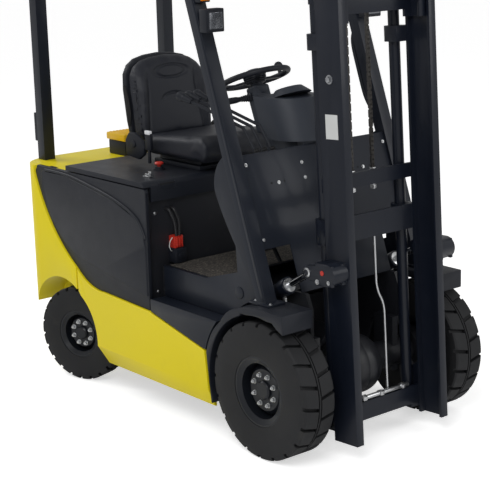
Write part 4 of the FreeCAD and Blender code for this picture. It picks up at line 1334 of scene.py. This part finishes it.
    def _pillars(self) -> None:
        """Makes the edge strips on the front pillars and the grab handle."""
        strip = Shape()
        for side in (1, -1):
            corners = []
            for z, shift in ((668, 8), (668, 24), (2034, 24), (2034, 8)):
                corners.append(at(pillar_x(z) + shift, side * self.pillar_y, z))
            strip.plate(corners, Vector((0, side * 0.003, 0)), 0.001)
        strip.done("pillar_strips", BLACK, "chassis")
        # Height of each point of the handle and its distance behind the pillar
        grip = ((1320, 30), (1345, 70), (1500, 72), (1655, 70), (1680, 30))
        points = [at(pillar_x(z) - gap, self.plate_y, z) for z, gap in grip]
        hose("grab_handle", points, 0.011, BLACK, "chassis")


@dataclass
class Mast:
    """Chains, anchors, pins, fork hooks, label and the fittings of the cylinders.

    Depths and heights are those of the upright mast, in millimetres from its foot.

    Attributes:
        sheave_d: Depth of the sheaves' axis.
        sheave_h: Height of the sheaves' axis.
        chain_y: Distance of the chains from the middle.
        chain_r: Distance of the chain from the sheave's axis.
        chain_w: Width of the chain, in metres.
        anchor_h: Height of the rear strands' lower end.
        lift: How far the inner mast comes down; not used.
        carriage_low: Height of the carriage's lower bar.
        eye_h: Height of the eyes of the tilt cylinders.
        eye_y: Distance of the outer side of those eyes from the middle.
        rail_y: Outer side of the outer rails.
        cylinder_y: Distance of the lift cylinders from the middle.
    """

    sheave_d: float = 15.0
    sheave_h: float = 3802.0
    chain_y: float = 60.0
    chain_r: float = 66.3
    chain_w: float = 0.018
    anchor_h: float = 1085.3
    lift: float = 1700.0
    carriage_low: float = 3455.0
    eye_h: float = 728.3
    eye_y: float = 351.0
    rail_y: float = 269.0
    cylinder_y: float = 216.0

    def build(self) -> None:
        """Makes the pieces."""
        self._chains()
        self._anchors()
        self._sides()
        self._carriage()
        self._cylinders()

    def _chains(self) -> None:
        """Makes the leaf chains: rear strands, the wraps over the sheaves and the front strands."""
        across = Vector((0, 1, 0))
        back = self.sheave_d - self.chain_r
        rear = Shape()
        for side in (1, -1):
            y = side * self.chain_y
            rear.leaf(on_mast(back, y, self.anchor_h), on_mast(back, y, self.sheave_h), across, self.chain_w)
        piece = rear.done("chain_strands", CHAIN, "mast_rails", slot_of("lift_chains"))
        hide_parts("lift_chains")
        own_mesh(piece)
        wrap = Shape()
        pieces, bend = 11, 66
        for side in (1, -1):
            y = side * self.chain_y
            turns = [math.pi * i / pieces for i in range(pieces + 1)]
            points = [on_mast(self.sheave_d - bend * math.cos(t), y, self.sheave_h + bend * math.sin(t))
                      for t in turns]
            for start, end in zip(points, points[1:]):
                wrap.leaf(start, end, across, self.chain_w, 0.030)
        wrap.done("chain_wraps", CHAIN, "mast_inner")
        front = Shape()
        ahead, low = self.sheave_d + 66, self.carriage_low + 156
        for side in (1, -1):
            y = side * self.chain_y
            front.leaf(on_mast(ahead, y, low), on_mast(ahead, y, self.sheave_h), across, self.chain_w)
        piece = front.done("chain_drops", CHAIN, "")
        start, end = on_mast(ahead, 0, low + 10), on_mast(ahead, 0, self.sheave_h - 4)
        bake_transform(piece)

    def _anchors(self) -> None:
        """Makes the threaded chain anchors and the sheave pins."""
        ends = Shape()
        back = self.sheave_d - self.chain_r
        for side in (1, -1):
            y = side * self.chain_y
            ends.bar(on_mast(back, y, 1010), on_mast(back, y, 1092), 0.009, sides=20)
            for low in (1012, 1034, 1086):
                ends.bar(on_mast(back, y, low), on_mast(back, y, low + 14), 0.015, sides=6, edge=0.001)
        ends.done("chain_anchors", ZINC, "mast_rails")
        pins = Shape()
        for side in (1, -1):
            y = side * self.chain_y
            for out in (-1, 1):
                start = on_mast(self.sheave_d, y + out * 24, self.sheave_h)
                end = on_mast(self.sheave_d, y + out * 31, self.sheave_h)
                pins.bar(start, end, 0.017, sides=6, edge=0.001)
                groove = [(0.050, 0.0), (0.060, 0.0), (0.063, 0.0005), (0.063, 0.003), (0.050, 0.003)]
                pins.spun(groove, on_mast(self.sheave_d, y + out * 12, self.sheave_h), Vector((0, out, 0)), 48)
        pins.done("sheave_pins", STEEL, "mast_inner")

    def _sides(self) -> None:
        """Makes the blank label, the red markers, the pin rings, the roller heads and the wear pads."""
        label = ((34, 1264), (104, 1264), (104, 1362), (34, 1362))
        corners = [on_mast(d, -self.rail_y - 0.2, h) for d, h in label]
        Shape().plate(corners, Vector((0, -0.001, 0)), 0.0).done("mast_label", LABEL, "mast_rails")
        spot, rings, heads, pads = Shape(), Shape(), Shape(), Shape()
        for side in (1, -1):
            out = Vector((0, side, 0))
            spot.spun([(0.0, -0.001), (0.010, -0.001), (0.010, 0.003), (0.0, 0.005)],
                      on_mast(62, side * self.eye_y, self.eye_h + 8), out, 24)
            eye = on_mast(-28.8, side * self.eye_y, self.eye_h)
            rings.spun([(0.0125, 0.0), (0.020, 0.0), (0.020, 0.004), (0.0125, 0.006)], eye, out, 36)
            rings.bolt(on_mast(30, side * self.eye_y, self.eye_h - 32), out, 0.015)
            rings.bolt(on_mast(96, side * self.eye_y, self.eye_h - 28), out, 0.012)
            for h in (1500, 1990):
                heads.bolt(on_mast(68, side * self.rail_y, h), out, 0.026)
            pad = on_mast(67.5, side * 249, 3700)
            pads.bar(pad, pad + out * 0.003, 0.020, sides=32)
        spot.done("side_markers", RED, "mast_rails")
        rings.done("pin_rings", ZINC, "mast_rails")
        heads.done("roller_heads", STEEL, "mast_rails")
        pads.done("wear_pads", STEEL, "mast_inner")

    def _carriage(self) -> None:
        """Makes the fork hooks, the fork latches, the painted shade of the carriage notches and the backrest's
        bolts.
        """
        low = self.carriage_low
        hooks, zinc, notch_shade = Shape(), Shape(), Shape()
        for side in (1, -1):
            y = side * 230
            for d, h in (((152, 222), (low + 391, low + 404)), ((150, 187), (low - 14, low - 2))):
                rim = ((d[0], h[0]), (d[1], h[0]), (d[1], h[1]), (d[0], h[1]))
                corners = [on_mast(depth, y - 46, height) for depth, height in rim]
                hooks.plate(corners, Vector((0, 0.092, 0)), 0.003)
            zinc.bar(on_mast(196, y, low + 402), on_mast(196, y, low + 440), 0.009, sides=20, edge=0.001)
            zinc.bar(on_mast(196, y - 22, low + 436), on_mast(196, y + 22, low + 436), 0.006, sides=16)
            for bolt_y in (296, 490):
                for h in (low + 315, low + 372):
                    zinc.bolt(on_mast(187, side * bolt_y, h), Vector((1, 0, 0.05)), 0.020)
        # Dark rods in the carriage's top bar: painted shade of its notches.
        for i in range(-7, 8):
            if abs(i * 60) in (180, 240):
                continue
            start, end = on_mast(158, i * 60, low + 390), on_mast(186, i * 60, low + 390)
            notch_shade.bar(start, end, 0.008, sides=16)
        hooks.done("fork_hooks", FORK_STEEL, "carriage")
        zinc.done("fork_latches", ZINC, "carriage")
        notch_shade.done("bar_notches_painted_shade", PAINTED_SHADE, "carriage")

    def _cylinders(self) -> None:
        """Makes the ports, gland rings and coupling tube of the lift and tilt cylinders."""
        ports = Shape()
        back = on_mast(-1, 0, 0) - on_mast(0, 0, 0)
        rise = on_mast(0, 0, 10) - on_mast(0, 0, 0)
        for side in (1, -1):
            foot = on_mast(-76, side * self.cylinder_y, 84)
            ports.bar(foot, foot + back.normalized() * 0.022, 0.011, sides=6, edge=0.001)
            top = on_mast(-53, side * self.cylinder_y, 1848)
            ports.bar(top, top + rise.normalized() * 0.006, 0.0265, sides=36, edge=0.001)
        tube_d, tube_h = -5, 138
        ports.bar(on_mast(tube_d, 172, tube_h), on_mast(tube_d, -104, tube_h), 0.010, sides=24, edge=0.001)
        for y in (150, 20, -80):
            start, end = on_mast(tube_d, y, tube_h), on_mast(tube_d, y - 22, tube_h)
            ports.bar(start, end, 0.0155, sides=6, edge=0.001)
        ports.done("lift_ports", ZINC, "mast_rails")
        start, end = at(-300, 0, 545), at(125, 0, 795)
        way = (end - start).normalized()
        up = way.cross(Vector((0, -1, 0))).normalized()
        for side, name in ((1, "left"), (-1, "right")):
            shape = Shape()
            shift = Vector((0, side * 0.315, 0))
            for reach in (0.075, 0.255):
                foot = start + shift + way * reach + up * 0.033
                shape.bar(foot, foot + up * 0.018, 0.010, sides=6, edge=0.001)
                shape.bar(foot + up * 0.018, foot + up * 0.030, 0.007, sides=20)
            ring = start + shift + way * 0.312
            shape.bar(ring, ring + way * 0.006, 0.030, sides=36, edge=0.001)
            shape.done("tilt_ports_" + name, ZINC, "tilt_barrel_" + name)


@dataclass
class Rear:
    """Painted shade of the slots in the deck of the counterweight.

    Attributes:
        deck_z: Height of the deck, in millimetres.
    """

    deck_z: float = 1029.5

    def build(self) -> None:
        """Makes the pieces."""
        # Dark strips on the deck: painted shade of its slots.
        slot_shade = Shape()
        for side in (1, -1):
            slot_shade.crate((-1600, -1540), (side * 470, side * 486), (self.deck_z, self.deck_z + 1.5), 0.0004)
        slot_shade.done("deck_slots_painted_shade", PAINTED_SHADE, "chassis")


# Nodes that are only painted
PLAIN = {
    "front_tyre_left": RUBBER, "front_tyre_right": RUBBER, "rear_tyre_left": RUBBER, "rear_tyre_right": RUBBER,
    "front_rim_left": RIM_BLACK, "front_rim_right": RIM_BLACK, "rear_rim_left": RIM_BLACK,
    "rear_rim_right": RIM_BLACK, "chain_sheaves": STEEL, "lift_rods": CHROME, "tilt_rod_left": CHROME,
    "tilt_rod_right": CHROME, "battery": BATTERY, "steering_wheel": PANEL, "tow_pin": STEEL,
    "lift_cylinders": MAST_BLACK, "drive_axle": AXLE, "steer_axle": AXLE, "knuckle_left": AXLE,
    "knuckle_right": AXLE, "chassis_frame": AXLE, "lift_chains": CHAIN, "seat_cushion": VINYL,
    "seat_backrest": VINYL, "steering_column": GREY, "control_levers": PANEL, "battery_cables": HOSE,
    "mast_hoses": ZINC,
}
# Nodes that get rounded edges, and the width of the rounding in metres
ROUNDED = {
    "side_skirts": (YELLOW, 0.004), "side_panels": (PANEL, 0.005), "counterweight": (CAST, 0.012),
    "hood": (PANEL, 0.008), "seat_base": (PANEL, 0.004), "floor_plate": (BLACK, 0.001),
    "entry_steps": (BLACK, 0.002), "side_plates": (BLACK, 0.0015), "front_fenders": (PANEL, 0.004),
    "overhead_guard": (BLACK, 0.006), "cowl_panel": (BLACK, 0.0012), "instrument_pod": (GREY, 0.010),
    "front_lamps": (PANEL, 0.004), "outer_mast": (MAST_BLACK, 0.003), "inner_mast": (MAST_BLACK, 0.003),
    "fork_carriage": (MAST_BLACK, 0.003), "load_backrest": (MAST_BLACK, 0.003), "forks": (FORK_STEEL, 0.003),
    "tilt_barrel_left": (MAST_BLACK, 0.002), "tilt_barrel_right": (MAST_BLACK, 0.002),
    "pedals": (PANEL, 0.0015), "storage_box": (PANEL, 0.006),
    "box_lid": (AMBER, 0.006), "rear_lamps": (PANEL, 0.004),
}


def wheels() -> list[Wheel]:
    """Gives the four wheels with their places.

    Returns:
        The wheels.
    """
    made = []
    for side, name in ((1, "left"), (-1, "right")):
        made.append(Wheel("front_" + name, "front_wheel_" + name, at(0, side * 440, 294), Vector((0, side, 0)),
                          0.294, 0.088, 0.150, 0.046, 0.066))
        turn = math.radians(18)
        out = Vector((-math.sin(turn), math.cos(turn), 0)) * side
        centre = at(-1425, side * 372, 232) + out * 0.088
        made.append(Wheel("rear_" + name, "rear_wheel_" + name, centre, out, 0.232, 0.061, 0.117, 0.024, 0.055))
    return made


def main() -> None:
    """Builds every sub-assembly in order."""
    logging.basicConfig(level=logging.INFO, format="%(name)s: %(message)s")
    Studio().build()
    Cladding(PLAIN, ROUNDED).build()
    for wheel in wheels():
        wheel.build()
    for part in (Seat(), Controls(), Bodywork(), Mast(), Rear()):
        part.build()


if __name__ == "__main__":
    main()
